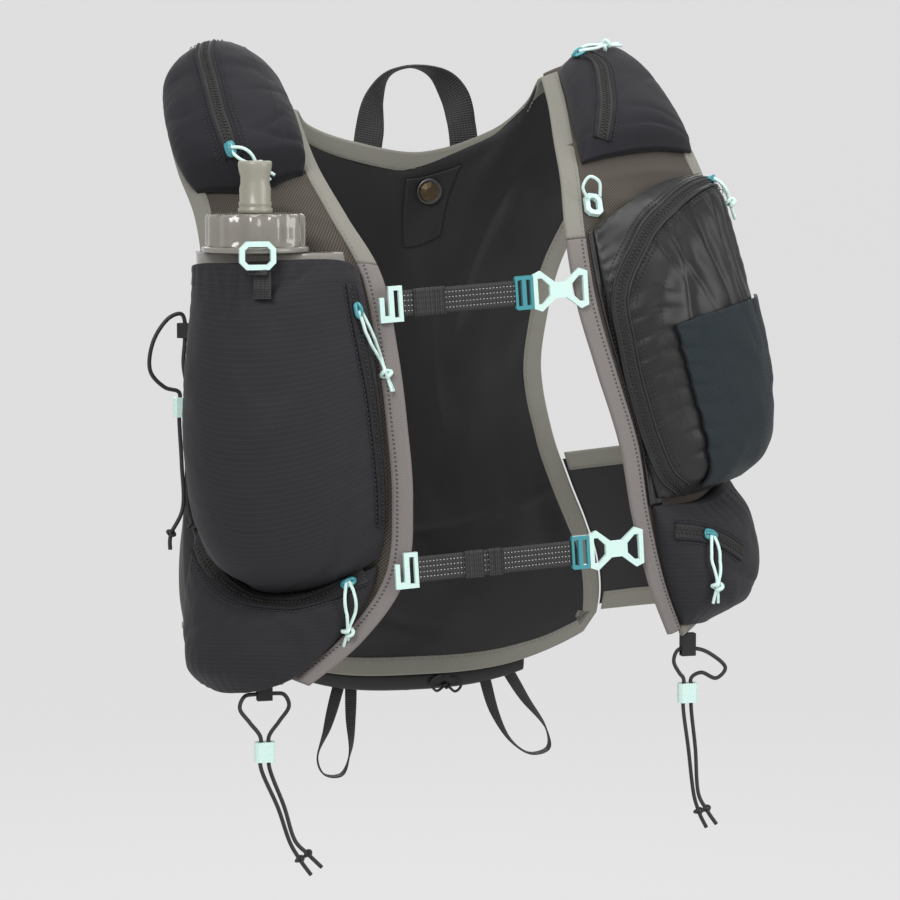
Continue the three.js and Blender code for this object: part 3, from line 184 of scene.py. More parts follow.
# Meshes
class Shape:
    """Points, faces and places in a weave (in millimetres), gathered into one mesh."""

    def __init__(self):
        self.points, self.faces, self.weave, self.count = [], [], [], 0

    def add(self, points, faces, weave=None):
        points = arr(points).reshape(-1, 3)
        self.faces += (np.asarray(faces) + self.count).tolist() if len({len(f) for f in faces}) == 1 \
            else [[i + self.count for i in f] for f in faces]
        self.points.append(points)
        self.weave.append(points[:, [0, 2]] if weave is None else arr(weave).reshape(-1, 2))
        self.count += len(points)
        return self

    def make(self, name, mat, slot, replaces=()):
        me = bpy.data.meshes.new(name)
        me.from_pydata((np.concatenate(self.points) * MM).tolist(), [], self.faces)
        weave = np.concatenate(self.weave)
        layer = me.uv_layers.new(name="weave")
        corners = np.empty(len(me.loops), np.int32)
        me.loops.foreach_get("vertex_index", corners)
        layer.data.foreach_set("uv", weave[corners].astype(np.float32).ravel())
        bm = bmesh.new()
        bm.from_mesh(me)
        bmesh.ops.recalc_face_normals(bm, faces=bm.faces)
        bm.to_mesh(me)
        bm.free()
        me.polygons.foreach_set("use_smooth", [True] * len(me.polygons))
        me.materials.append(mat)
        return dressed(put(name, me), slot, replaces)


def grid_faces(nx, ny, first=0, flip=False):
    i, j = np.meshgrid(np.arange(nx - 1), np.arange(ny - 1))
    a = (first + j * nx + i).ravel()
    quads = np.stack([a, a + 1, a + 1 + nx, a + nx], -1)
    return quads[:, ::-1] if flip else quads


def weave_of(grid):
    """Millimetres across and along a grid of points."""
    across = np.linalg.norm(np.diff(grid, axis=1), axis=2).mean(0)
    along = np.linalg.norm(np.diff(grid, axis=0), axis=2).mean(1)
    x, y = np.concatenate([[0], np.cumsum(across)]), np.concatenate([[0], np.cumsum(along)])
    return np.stack(np.meshgrid(x, y), -1)


def skin(shape, upper, lower):
    """The closed solid between two grids of points."""
    ny, nx = upper.shape[:2]
    n = nx * ny
    faces = [grid_faces(nx, ny), grid_faces(nx, ny, n, True)]
    i, j = np.arange(nx - 1), np.arange(ny - 1)
    faces.append(np.stack([i, i + n, i + 1 + n, i + 1], -1))
    k = (ny - 1) * nx
    faces.append(np.stack([k + i, k + i + 1, k + i + 1 + n, k + i + n], -1))
    faces.append(np.stack([j * nx, (j + 1) * nx, (j + 1) * nx + n, j * nx + n], -1))
    e = nx - 1
    faces.append(np.stack([j * nx + e, j * nx + e + n, (j + 1) * nx + e + n, (j + 1) * nx + e], -1))
    w = weave_of(upper).reshape(-1, 2)
    return shape.add(np.concatenate([upper.reshape(-1, 3), lower.reshape(-1, 3)]),
                     np.concatenate(faces), np.concatenate([w, w]))


def sweep(shape, line, across, up, section):
    """A section of (across, up) pairs carried along a line of points."""
    line, section = arr(line), arr(section)
    across, up = np.broadcast_to(across, line.shape), np.broadcast_to(up, line.shape)
    count, m = len(line), section.shape[-2]
    section = np.broadcast_to(section, (count, m, 2))
    points = line[:, None] + section[..., :1] * across[:, None] + section[..., 1:] * up[:, None]
    weave = np.stack(np.broadcast_arrays(run_of(section[0])[None, :], run_of(line)[:, None]), -1)
    j, i = np.meshgrid(np.arange(count - 1), np.arange(m), indexing="ij")
    k, nxt = (i + 1) % m, j + 1
    faces = np.stack([j * m + i, j * m + k, nxt * m + k, nxt * m + i], -1).reshape(-1, 4).tolist()
    faces += [list(range(m)), [(count - 1) * m + q for q in range(m)][::-1]]
    return shape.add(points, faces, weave)


def frames(line):
    """Two directions across a line, turned along it without twist."""
    tangent = slopes(line)
    side = np.zeros_like(tangent)
    first = np.array([0.0, 1.0, 0.0])
    if abs(tangent[0] @ unit(first)) > 0.95:
        first = np.array([1.0, 0.0, 0.0])
    for k, t in enumerate(tangent):
        base = first if k == 0 else side[k - 1]
        side[k] = unit(base - (base @ t) * t)
    return side, np.cross(tangent, side)


def ring(radius, sides):
    a = np.arange(sides) * 2 * math.pi / sides
    return np.stack([radius * np.cos(a), radius * np.sin(a)], -1)


def tube(shape, line, radius, sides=8):
    a, b = frames(line)
    return sweep(shape, line, a, b, ring(radius, sides))


def flat_section(width, thick, ribs=0, deep=0.0):
    """A rounded flat band's section, with fine ribs along it on both faces."""
    n = max(12, ribs * 6)
    x = np.linspace(-1, 1, n)
    lift = thick / 2 * (1 - np.abs(x) ** 12 * 0.6)
    if ribs:
        lift = lift + deep * (np.cos(x * math.pi * ribs) - 1) / 2
    top = np.stack([x * width / 2, lift], -1)
    return np.concatenate([top, -top])


def lathe(shape, profile, foot, axis=UP, sides=48, flutes=0, deep=0.0, where=None):
    """A turned solid; flutes press shallow grooves into the profile's rows named by where."""
    axis = unit(arr(axis))
    a = unit(np.cross(axis, [0.3, 1, 0.2]))
    b = np.cross(axis, a)
    turn = np.arange(sides) * 2 * math.pi / sides
    rows = []
    for k, (r, h) in enumerate(profile):
        wave = deep * (np.cos(turn * flutes) - 1) / 2 if where and where[0] <= k <= where[1] else 0
        radius = (r + wave)[:, None] if flutes and np.ndim(wave) else np.full((sides, 1), r)
        rows.append(arr(foot) + radius * (np.cos(turn)[:, None] * a + np.sin(turn)[:, None] * b) + h * axis)
    j, i = np.meshgrid(np.arange(len(rows) - 1), np.arange(sides), indexing="ij")
    k = (i + 1) % sides
    faces = np.stack([j * sides + i, j * sides + k, (j + 1) * sides + k, (j + 1) * sides + i], -1)
    faces = faces.reshape(-1, 4).tolist()
    end = (len(rows) - 1) * sides
    faces += [list(range(sides))[::-1], list(range(end, end + sides))]
    return shape.add(np.concatenate(rows), faces)


def blocks(shape, centres, along, across, up, sizes):
    """Many small blocks with slanted sides, such as stitches and zip teeth."""
    c, a, b, n = (arr(v).reshape(-1, 3) for v in (centres, along, across, up))
    long, wide, high = (s / 2 for s in sizes)
    signs = arr([[-1, -1, -1], [1, -1, -1], [1, 1, -1], [-1, 1, -1],
                 [-.7, -.7, 1], [.7, -.7, 1], [.7, .7, 1], [-.7, .7, 1]])
    points = (c[:, None] + signs[None, :, :1] * long * a[:, None]
              + signs[None, :, 1:2] * wide * b[:, None] + signs[None, :, 2:] * high * n[:, None])
    one = np.array([[0, 3, 2, 1], [4, 5, 6, 7], [0, 1, 5, 4], [1, 2, 6, 5], [2, 3, 7, 6], [3, 0, 4, 7]])
    faces = (one[None] + 8 * np.arange(len(c))[:, None, None]).reshape(-1, 4)
    return shape.add(points, faces)


def stitch_row(shape, line, normal, pitch=3.4, share=0.62, wide=0.6, high=0.5, lift=0.1, slant=0.0):
    """Even stitches along a line of points on cloth."""
    line, normal = arr(line), np.broadcast_to(normal, np.shape(line))
    run = run_of(line)
    at = np.arange(pitch / 2, run[-1], pitch)
    pick = lambda v: np.stack([np.interp(at, run, v[:, k]) for k in range(3)], -1)
    centre, n, t = pick(line), unit(pick(normal)), unit(pick(slopes(line)))
    side = np.cross(n, t)
    t = unit(t + side * slant)
    return blocks(shape, centre + n * lift, t, np.cross(n, t), n, (pitch * share, wide, high))


# Cloth surfaces of the vest
LEFT_PANEL = [
    (0.0, -.486, 0.0, .049, -.908, -.138, .038, .05), (0.1, -.497, .238, .1, -.935, .05, .092, .055),
    (0.2, -.497, .469, .151, -.94, .275, .154, .06), (0.3, -.459, .713, .22, -.919, .463, .22, .065),
    (0.4, -.389, .888, .303, -.908, .53, .303, .07), (0.5, -.351, .95, .415, -.914, .513, .41, .08),
    (0.6, -.327, .98, .528, -.924, .48, .52, .085), (0.7, -.311, .988, .641, -.935, .444, .631, .085),
    (0.8, -.33, .97, .759, -.94, .413, .738, .08), (0.9, -.465, .93, .856, -.93, .406, .826, .06),
    (1.0, -.665, .888, .933, -.892, .438, .897, .03),
]
RIGHT_PANEL = [
    (0.0, .378, 0.0, -.005, .784, -.156, -.026, .05), (0.1, .34, .244, .046, .816, .05, .026, .055),
    (0.2, .297, .475, .105, .832, .281, .103, .06), (0.3, .26, .694, .167, .849, .45, .174, .065),
    (0.4, .232, .856, .244, .87, .519, .251, .07), (0.5, .254, .925, .351, .892, .513, .354, .08),
    (0.6, .319, .944, .456, .908, .48, .456, .08), (0.7, .395, .956, .569, .919, .444, .564, .08),
    (0.8, .438, .963, .679, .924, .413, .672, .07), (0.9, .503, .95, .787, .914, .406, .774, .055),
    (1.0, .6, .9, .885, .87, .438, .856, .03),
]
BACK_LEVELS = [
    (-.03, -.908, .784, .68, .28), (.103, -.854, .735, .72, .28), (.205, -.714, .627, .8, .2),
    (.308, -.573, .524, .88, .12), (.41, -.497, .476, .96, .12), (.492, -.476, .459, 1.0, .16),
    (.595, -.503, .497, .96, .16), (.68, -.562, .557, .92, .16), (.749, -.611, .611, .88, .2),
    (.815, -.649, .649, .86, .26), (.885, -.657, .657, .88, .28), (1.01, -.605, .605, .94, .2),
]
NECK_CORNER = 0.54
NECKLINE = [
    (-.54, -.486, 0.0, .049), (-.42, -.42, .34, .078), (-.25, -.25, .54, .105), (0.0, 0.0, .66, .122),
    (.25, .25, .54, .086), (.42, .36, .3, .038), (.54, .378, 0.0, -.005),
]


def normal_at(surface, u, v, outward):
    step = 0.004
    u, v = np.clip(u, step, 1 - step), np.clip(v, step, 1 - step)
    across = surface(u + step, v) - surface(u - step, v)
    along = surface(u, v + step) - surface(u, v - step)
    return unit(np.cross(across, along)) * outward


def panel_surface(rows, outward):
    def flat(u, at):
        near = np.stack([column(rows, 1, at) * HALF_WIDTH, -column(rows, 2, at) * CHEST_REACH,
                         -column(rows, 3, at) * BODY_HEIGHT], -1)
        far = np.stack([column(rows, 4, at) * HALF_WIDTH, -column(rows, 5, at) * CHEST_REACH,
                        -column(rows, 6, at) * BODY_HEIGHT], -1)
        return near + (far - near) * u[..., None]

    def surface(u, at):
        u, at = (x.copy() for x in np.broadcast_arrays(arr(u), arr(at)))
        bow = column(rows, 7, at) * CHEST_REACH * 4 * u * (1 - u)
        return flat(u, at) + normal_at(flat, np.full_like(u, 0.5), at, outward) * bow[..., None]
    return surface


left_panel = panel_surface(LEFT_PANEL, 1)
right_panel = panel_surface(RIGHT_PANEL, -1)


def top_edge(u):
    neck = np.stack([column(NECKLINE, 1, u) * HALF_WIDTH, column(NECKLINE, 2, u) * BACK_REACH,
                     -column(NECKLINE, 3, u) * BODY_HEIGHT], -1)
    share = np.clip((np.abs(u) - NECK_CORNER) / (1 - NECK_CORNER), 0, 1)
    side = np.where((u < 0)[..., None], left_panel(share, 0), right_panel(share, 0))
    return np.where((np.abs(u) < NECK_CORNER)[..., None], neck, side)


def back_surface(u, v):
    u, v = (x.copy() for x in np.broadcast_arrays(arr(u), arr(v)))
    side = 2 * u - 1
    top = top_edge(side)
    hem = -BODY_HEIGHT * (1.005 - 0.077 * np.abs(side) ** 3)
    z = top[..., 2] + v * (hem - top[..., 2])
    level = -z / BODY_HEIGHT
    left, right = column(BACK_LEVELS, 1, level) * HALF_WIDTH, column(BACK_LEVELS, 2, level) * HALF_WIDTH
    wrap = column(BACK_LEVELS, 4, level) * side * side
    body = np.stack([left + (right - left) * u, (column(BACK_LEVELS, 3, level) - wrap) * BACK_REACH, z], -1)
    share = (1 - (1 - np.clip(v / 0.2, 0, 1)) ** 2.2)[..., None]
    out = top + (body - top) * share
    out[..., 2] = z
    return out


WING_TOP, WING_LOW, WING_FRONT, WING_BULGE = 0.69, 0.972, 0.71, 24
WING_WIDE, WING_LONG = 110, 90


def wing_surface(back_u, panel, side):
    def surface(u, v):
        u, v = (x.copy() for x in np.broadcast_arrays(arr(u), arr(v)))
        rear = back_surface(back_u, WING_TOP + (WING_LOW - WING_TOP) * v)
        front = panel(1, WING_FRONT + (1 - WING_FRONT) * v)
        swing = WING_BULGE * 4 * u * (1 - u)
        add = np.stack([side * swing * 0.8, swing * 0.45, np.zeros_like(u)], -1)
        return rear + (front - rear) * u[..., None] + add
    return surface


left_wing = wing_surface(0, left_panel, -1)
right_wing = wing_surface(1, right_panel, 1)


def on_surface(surface, outward, u, v, high):
    return surface(u, v) + normal_at(surface, u, v, outward) * arr(high)[..., None]


def crest_normal(surface, outward, u, v):
    u, v = (x.copy() for x in np.broadcast_arrays(arr(u), arr(v)))
    turn = ((surface(u, v)[..., 2] > -60) * np.clip(1 - v / 0.06, 0, 1))[..., None]
    normal = normal_at(surface, u, v, outward)
    return unit(normal + (UP - normal) * turn)


def over_crest(surface, outward, u, v, high):
    return surface(u, v) + crest_normal(surface, outward, u, v) * arr(high)[..., None]


# Materials
def material(name, colour, rough, second=None, pattern=None, pitch=1.0, bump=0.2, depth=0.3, vary=0.12,
             sheen=0.0, coat=0.0, metal=0.0, spec=0.5, through=0.0, grain=900.0, subsurface=0.0):
    """A procedural finish. The weave is laid by the millimetres kept on each mesh; slow colour
    variation and fine grain come from the object's own space."""
    mat = bpy.data.materials.new(name)
    mat.use_nodes = True
    tree = mat.node_tree
    nodes, links = tree.nodes, tree.links
    shader = nodes["Principled BSDF"]

    def node(kind, **settings):
        made = nodes.new(kind)
        for key, value in settings.items():
            setattr(made, key, value)
        return made

    def maths(operation, a, b=None):
        made = node("ShaderNodeMath", operation=operation)
        for k, x in enumerate((a, b)):
            if x is None:
                continue
            if isinstance(x, (int, float)):
                made.inputs[k].default_value = x
            else:
                links.new(x, made.inputs[k])
        return made.outputs[0]

    place = node("ShaderNodeTexCoord")
    weave = node("ShaderNodeMapping")
    links.new(place.outputs["UV"], weave.inputs["Vector"])

    def wave(direction, step, vector=None):
        made = node("ShaderNodeTexWave", wave_type="BANDS", bands_direction=direction)
        made.inputs["Scale"].default_value = 0.3142 / step
        made.inputs["Distortion"].default_value = 0.0
        links.new(vector or weave.outputs["Vector"], made.inputs["Vector"])
        return made.outputs["Fac"]

    height = None
    if pattern == "plain":
        height = maths("MULTIPLY", maths("ADD", wave("X", pitch), wave("Y", pitch)), 0.5)
    elif pattern == "ripstop":
        fine = maths("MULTIPLY", maths("ADD", wave("X", pitch), wave("Y", pitch)), 0.25)
        bars = maths("POWER", wave("Y", pitch * 3.0), 5.0)
        height = maths("ADD", fine, maths("MULTIPLY", bars, 0.5))
    elif pattern == "twill":
        weave.inputs["Rotation"].default_value = (0, 0, math.radians(38))
        weft = maths("MULTIPLY", wave("Y", pitch * 0.9), 0.5)
        height = maths("MULTIPLY", maths("ADD", wave("X", pitch), weft), 0.66)
    elif pattern == "rib":
        height = wave("Y", pitch)
    elif pattern == "mesh":
        cells = node("ShaderNodeTexVoronoi", feature="F1")
        cells.inputs["Scale"].default_value = 1.0 / pitch
        cells.inputs["Randomness"].default_value = 0.0
        links.new(weave.outputs["Vector"], cells.inputs["Vector"])
        height = maths("MULTIPLY", cells.outputs["Distance"], 1.6)
    slow = node("ShaderNodeTexNoise")
    slow.inputs["Scale"].default_value = 26.0
    slow.inputs["Detail"].default_value = 3.0
    links.new(place.outputs["Object"], slow.inputs["Vector"])
    fine_grain = node("ShaderNodeTexNoise")
    fine_grain.inputs["Scale"].default_value = grain
    links.new(place.outputs["Object"], fine_grain.inputs["Vector"])

    second = second or tuple(min(1.0, c * 1.45 + 0.004) for c in colour)
    share = maths("MULTIPLY", slow.outputs["Fac"], vary * 2)
    if height is not None:
        share = maths("ADD", share, maths("MULTIPLY", height, depth))
    share = maths("ADD", share, maths("MULTIPLY", fine_grain.outputs["Fac"], vary * 0.6))
    mix = node("ShaderNodeMix", data_type="RGBA")
    links.new(share, mix.inputs["Factor"])
    mix.inputs["A"].default_value = (*colour, 1)
    mix.inputs["B"].default_value = (*second, 1)
    links.new(mix.outputs["Result"], shader.inputs["Base Color"])
    gloss = node("ShaderNodeMapRange")
    gloss.inputs["To Min"].default_value = max(0.05, rough - 0.1)
    gloss.inputs["To Max"].default_value = min(1.0, rough + 0.1)
    links.new(slow.outputs["Fac"], gloss.inputs["Value"])
    links.new(gloss.outputs["Result"], shader.inputs["Roughness"])
    relief = maths("MULTIPLY", fine_grain.outputs["Fac"], 0.35)
    if height is not None:
        relief = maths("ADD", relief, height)
    raised = node("ShaderNodeBump")
    raised.inputs["Strength"].default_value = bump
    raised.inputs["Distance"].default_value = 0.0004
    links.new(relief, raised.inputs["Height"])
    links.new(raised.outputs["Normal"], shader.inputs["Normal"])
    for key, value in (("Metallic", metal), ("Specular IOR Level", spec), ("Sheen Weight", sheen),
                       ("Coat Weight", coat), ("Transmission Weight", through),
                       ("Subsurface Weight", subsurface)):
        shader.inputs[key].default_value = value
    shader.inputs["Sheen Roughness"].default_value = 0.45
    shader.inputs["Subsurface Scale"].default_value = 0.003
    mat.diffuse_color = (*colour, 1)
    return mat


NAVY = material("navy_stretch_cloth", (.0155, .015, .018), .7, (.031, .03, .035), "ripstop", 1.0, .3, .5,
                sheen=.04, spec=.22)
NAVY_TWILL = material("navy_pocket_cloth", (.0125, .012, .0155), .74, (.024, .0235, .029), "plain",
                      .8, .25, .35, sheen=.05, spec=.2)
NYLON = material("black_shiny_nylon", (.0075, .0074, .0072), .44, (.016, .0158, .0155), "plain", .7, .12, .3,
                 spec=.45)
INNER = material("black_inner_cloth", (.0105, .0105, .0105), .52, (.021, .0212, .021), "plain", .8, .2, .3,
                 spec=.4)
STRAP = material("strap_mesh_twill", (.016, .014, .0125), .85, (.11, .095, .08), "twill", 1.5, .7, .95,
                 sheen=.05, spec=.15)
STRETCH = material("teal_stretch_mesh", (.004, .0065, .0085), .62, (.018, .029, .034), "mesh", 1.3, .6, .7,
                   sheen=.03, spec=.25)
OLIVE = material("olive_binding", (.2, .195, .168), .82, (.3, .292, .255), "twill", .9, .35, .4,
                 sheen=.08, spec=.15)
RAIL_MAT = material("rail_binding", (.175, .158, .15), .8, (.265, .24, .23), "plain", .9, .35, .4,
                    sheen=.06, spec=.15)
WEB = material("black_ribbed_webbing", (.012, .012, .012), .62, (.045, .045, .045), "rib", 1.5, .6, .75,
               sheen=.03, spec=.35)
ZIP = material("black_zip_tape", (.01, .01, .0095), .6, (.026, .026, .025), "rib", 1.0, .5, .5, spec=.4)
COIL = material("black_zip_coil", (.01, .01, .0095), .42, (.024, .024, .023), spec=.5)
MINT = material("mint_plastic", (.6, .8, .75), .4, (.68, .85, .81), vary=.05, bump=.05, coat=.12,
                subsurface=.15, grain=500)
TEAL = material("teal_plastic", (.045, .26, .3), .3, (.075, .34, .37), vary=.08, bump=.05, coat=.3, grain=500)
MINT_CORD = material("mint_woven_cord", (.6, .82, .76), .75, (.78, .92, .88), "twill", .8, .6, .5, sheen=.05)
BLACK_CORD = material("black_elastic_cord", (.009, .009, .01), .6, (.03, .03, .032), "twill", .8, .6, .6,
                      sheen=.1)
FILM = material("frosted_flask_film", (.36, .35, .28), .36, (.46, .45, .37), vary=.2, bump=.05, through=.3,
                coat=.2, grain=200)
SMOKE = material("smoky_flask_collar", (.33, .31, .27), .16, (.5, .46, .42), vary=.2, bump=.04, through=.45,
                 coat=.5, grain=200)
BRASS_MAT = material("aged_brass", (.085, .065, .04), .5, (.17, .13, .08), vary=.3, bump=.08, metal=1.0,
                     grain=700)
DARK_METAL = material("grey_metal_ring", (.1, .1, .1), .4, (.18, .18, .175), vary=.2, bump=.05, metal=1.0)
OLIVE_THREAD = material("olive_thread", (.13, .125, .11), .7, (.45, .43, .38), vary=.2, bump=.2)
DARK_THREAD = material("black_thread", (.02, .02, .022), .6, (.045, .045, .048), vary=.2, bump=.2)
REFLECT = material("reflective_thread", (.4, .4, .4), .35, (.62, .62, .62), vary=.25, bump=.2, spec=.8)

# Pockets
PUCKER_PITCH = 8.5


class Pocket:
    """A stuffed pocket on a cloth surface. sides rows are (t, from, to, high), ends rows (s, top, low).
    folds rows are (s, t, turn, long, wide, deep): long shallow creases, deep in millimetres."""

    def __init__(self, base, outward, full, rise, fall, sides, ends, sag=0.0, folds=(), seed=1,
                 soft=1.6, pucker=0.9, small=0.5):
        self.base, self.outward, self.full, self.sag = base, outward, full, sag
        self.rise, self.fall, self.sides, self.ends = rise, fall, sides, ends
        self.folds, self.seed, self.soft, self.pucker, self.small = folds, seed, soft, pucker, small
        k = np.linspace(0, 1, 9)
        self.wide = np.linalg.norm(np.diff(self.base(*self.place(k, 0.5 + 0 * k)), axis=0), axis=1).sum()
        self.long = np.linalg.norm(np.diff(self.base(*self.place(0.5 + 0 * k, k)), axis=0), axis=1).sum()

    def place(self, s, t):
        near, far = column(self.sides, 1, t), column(self.sides, 2, t)
        top, low = column(self.ends, 1, s), column(self.ends, 2, s)
        return near + (far - near) * s, top + (low - top) * t

    def plain(self, s, t):
        level = column(self.sides, 3, t) * dome(s, self.rise, self.fall)
        return SEAM_EDGE + self.full * np.maximum(0, level)

    def detail(self, s, t):
        x, y = s * self.wide, t * self.long
        edge = np.minimum(np.minimum(x, self.wide - x), np.minimum(y, self.long - y))
        inside = np.clip(edge / 12, 0, 1)
        out = self.soft * noise(x / 38, y / 46, self.seed)
        out = out + self.soft * .5 * noise(x / 17, y / 21, self.seed + 3)
        out = out + self.small * noise(x / 7, y / 8, self.seed + 5)
        out = out * inside
        for s0, t0, turn, long, wide, deep in self.folds:
            a, b = (s - s0) * self.wide, (t - t0) * self.long
            bend = 6 * noise(a / 25, np.zeros_like(a) + self.seed, self.seed + 9)
            out = out - ridge(a, b, turn, long, wide, deep, bend)
        from_side = np.minimum(x, self.wide - x)
        from_end = np.minimum(y, self.long - y)
        for run, away, seed in ((y, from_side, self.seed + 11), (x, from_end, self.seed + 13)):
            ripple = np.sin(run * 2 * math.pi / PUCKER_PITCH + 3 * noise(run / 19, run * 0, seed))
            out = out + self.pucker * ripple * np.exp(-away / 9) * np.clip(away / 2, 0, 1)
        return out

    def face(self, s, t, lift=0.0):
        s, t = (x.copy() for x in np.broadcast_arrays(arr(s), arr(t)))
        plain = self.plain(s, t)
        high = np.maximum(0.4, plain + self.detail(s, t) + lift)
        point = over_crest(self.base, self.outward, *self.place(s, t), SEAT + high)
        point[..., 2] -= self.sag * np.clip(t, 0, 1) ** 4 * np.clip(2 * plain / self.full, 0, 1)
        return point

    def seat(self, s, t):
        return over_crest(self.base, self.outward, *self.place(s, t), SEAT + 0 * s)

    def normal(self, s, t):
        step = 0.01
        s0, t0 = np.clip(s, step, 1 - step), np.clip(t, step, 1 - step)
        a = self.face(s0 + step, t0) - self.face(s0 - step, t0)
        b = self.face(s0, t0 + step) - self.face(s0, t0 - step)
        return unit(np.cross(a, b)) * self.outward


def eased(count, power=0.75):
    """Shares from 0 to 1, closer together near both ends."""
    k = np.linspace(0, 1, count)
    return k * (1 - power) + power * (1 - np.cos(math.pi * k)) / 2


def pocket_piece(name, pocket, mat, slot, nodes, columns=96, rows=110, wall=None):
    s, t = np.meshgrid(eased(columns), eased(rows))
    upper = pocket.face(s, t)
    lower = pocket.seat(s, t) if wall is None else pocket.face(s, t, -wall)
    ob = skin(Shape(), upper, lower).make(name, mat, slot, nodes)
    return ob


shoulder_left = Pocket(left_panel, 1, 38, .32, .3, seed=21, soft=1.6, pucker=.25, small=.25, folds=[
    (.2, .5, .5, 16, 2.5, .9), (.85, .6, -.6, 14, 2.5, 1.0), (.2, .86, -.2, 16, 2.2, 1.6),
    (.3, .78, .6, 12, 2, 1.2)],
    sides=[(0, .22, .9, .3), (.08, .2, .93, .9), (.4, .16, .95, 1), (.75, .14, .95, .9),
           (.94, .15, .94, .66), (1, .17, .92, .15)],
    ends=[(0, .03, .23), (.5, .008, .275), (1, .02, .26)])
shoulder_right = Pocket(right_panel, -1, 15, .35, .45, seed=33, soft=1.3, pucker=.1, small=.2, folds=[
    (.65, .82, .3, 22, 3, .9), (.8, .5, -.4, 18, 3, .7), (.6, .92, .1, 30, 2.2, 1.6)],
    sides=[(0, .16, .76, .3), (.1, .14, .8, .8), (.5, .13, .88, 1), (.9, .13, .94, .85), (1, .13, .94, .2)],
    ends=[(0, .03, .275), (.5, .008, .26), (1, .02, .24)])
bottle = Pocket(left_panel, 1, 56, .6, .42, seed=45, soft=1.3, pucker=.5, small=.35, folds=[
    (.22, .86, 1.1, 40, 4, 2.6), (.3, .93, .4, 34, 3.5, 2.2), (.62, .05, 1.35, 14, 1.6, 1.8),
    (.5, .045, 1.0, 14, 1.6, 1.9), (.42, .04, .7, 13, 1.6, 1.6), (.7, .04, 1.9, 12, 1.5, 1.4),
    (.33, .035, .5, 12, 1.5, 1.2), (.16, .7, 1.35, 40, 4, 2.0), (.55, .95, .15, 46, 4, 1.8),
    (.5, .06, .25, 30, 3, 1.6), (.8, .88, -.6, 30, 4, 1.6)],
    sides=[(0, .115, .9, .92), (.15, .11, .9, .97), (.45, .105, .9, 1), (.75, .105, .88, .92),
           (.92, .11, .86, .66), (1, .12, .84, .2)],
    ends=[(0, .4, .775), (.3, .405, .825), (.6, .405, .84), (.85, .4, .8), (1, .4, .735)])
lower_left = Pocket(left_panel, 1, 33, .5, .4, sag=24, seed=57, soft=1.6, pucker=.4, small=.35, folds=[
    (.1, .3, -.7, 26, 2.5, 2.4), (.12, .5, -.75, 26, 2.5, 2.4), (.15, .7, -.8, 24, 2.5, 2.2),
    (.5, .8, .1, 50, 4, 1.6), (.8, .6, .5, 26, 3.5, 1.8)],
    sides=[(0, .12, .92, .3), (.2, .11, .92, .82), (.5, .11, .92, 1), (.85, .12, .92, .95), (1, .15, .9, .2)],
    ends=[(0, .785, .975), (.3, .835, .99), (.6, .845, .995), (.85, .805, .99), (1, .75, .985)])
main_pocket = Pocket(right_panel, -1, 35, .75, .4, seed=69, soft=2.0, pucker=.35, small=.45, folds=[
    (.3, .2, 1.15, 20, 1.6, 1.8), (.4, .24, 1.25, 30, 2.2, 2.6), (.48, .2, 1.1, 22, 1.8, -1.6),
    (.56, .27, 1.4, 34, 2.4, 3.0), (.64, .22, 1.35, 24, 1.8, -1.6), (.7, .28, 1.55, 34, 2.6, 3.0),
    (.8, .24, 1.6, 28, 2.0, 2.2), (.88, .3, 1.7, 30, 2.2, 2.2), (.36, .36, 1.75, 26, 2.2, 2.4),
    (.2, .3, .2, 14, 1.6, 1.4), (.19, .37, .1, 14, 1.6, 1.6), (.18, .44, .05, 15, 1.5, 1.7),
    (.17, .51, -.05, 15, 1.6, 1.7), (.17, .58, -.1, 15, 1.5, 1.6), (.17, .65, -.1, 15, 1.6, 1.7),
    (.17, .72, -.2, 15, 1.6, 1.6), (.18, .8, -.3, 15, 1.6, 1.5), (.2, .87, -.4, 16, 1.8, 1.5)],
    sides=[(0, .13, .93, .15), (.08, .13, .94, .5), (.2, .13, .94, .72), (.4, .13, .94, .88),
           (.7, .12, .94, 1), (.9, .13, .93, .85), (1, .16, .9, .25)],
    ends=[(0, .4, .78), (.25, .365, .78), (.5, .335, .775), (.75, .315, .77), (1, .3, .755)])
lower_right = Pocket(right_panel, -1, 29, .5, .34, seed=81, soft=1.6, pucker=.35, small=.35, folds=[
    (.5, .6, .4, 30, 3, 1.8), (.3, .8, .7, 24, 3, 1.8), (.7, .75, -.5, 26, 3, 1.6)],
    sides=[(0, .12, .92, .25), (.2, .115, .93, .8), (.5, .11, .93, 1), (.8, .12, .92, .86),
           (1, .15, .9, .15)],
    ends=[(0, .79, .98), (.5, .795, .995), (1, .775, .985)])
rear_pack = Pocket(back_surface, 1, 52, .3, .3, sag=36, seed=93, soft=2.6, pucker=1.3, small=.7, folds=[
    (.3, .3, .6, 50, 5, 3), (.7, .35, -.6, 50, 5, 3), (.5, .75, .05, 90, 6, 3), (.25, .7, -.4, 40, 5, 2.6),
    (.75, .65, .5, 40, 5, 2.6)],
    sides=[(0, .14, .86, .2), (.1, .1, .9, .72), (.35, .08, .92, .9), (.7, .08, .92, 1),
           (.96, .1, .9, .78), (1, .14, .86, .08)],
    ends=[(0, .14, .93), (.5, .1, .97), (1, .14, .93)])

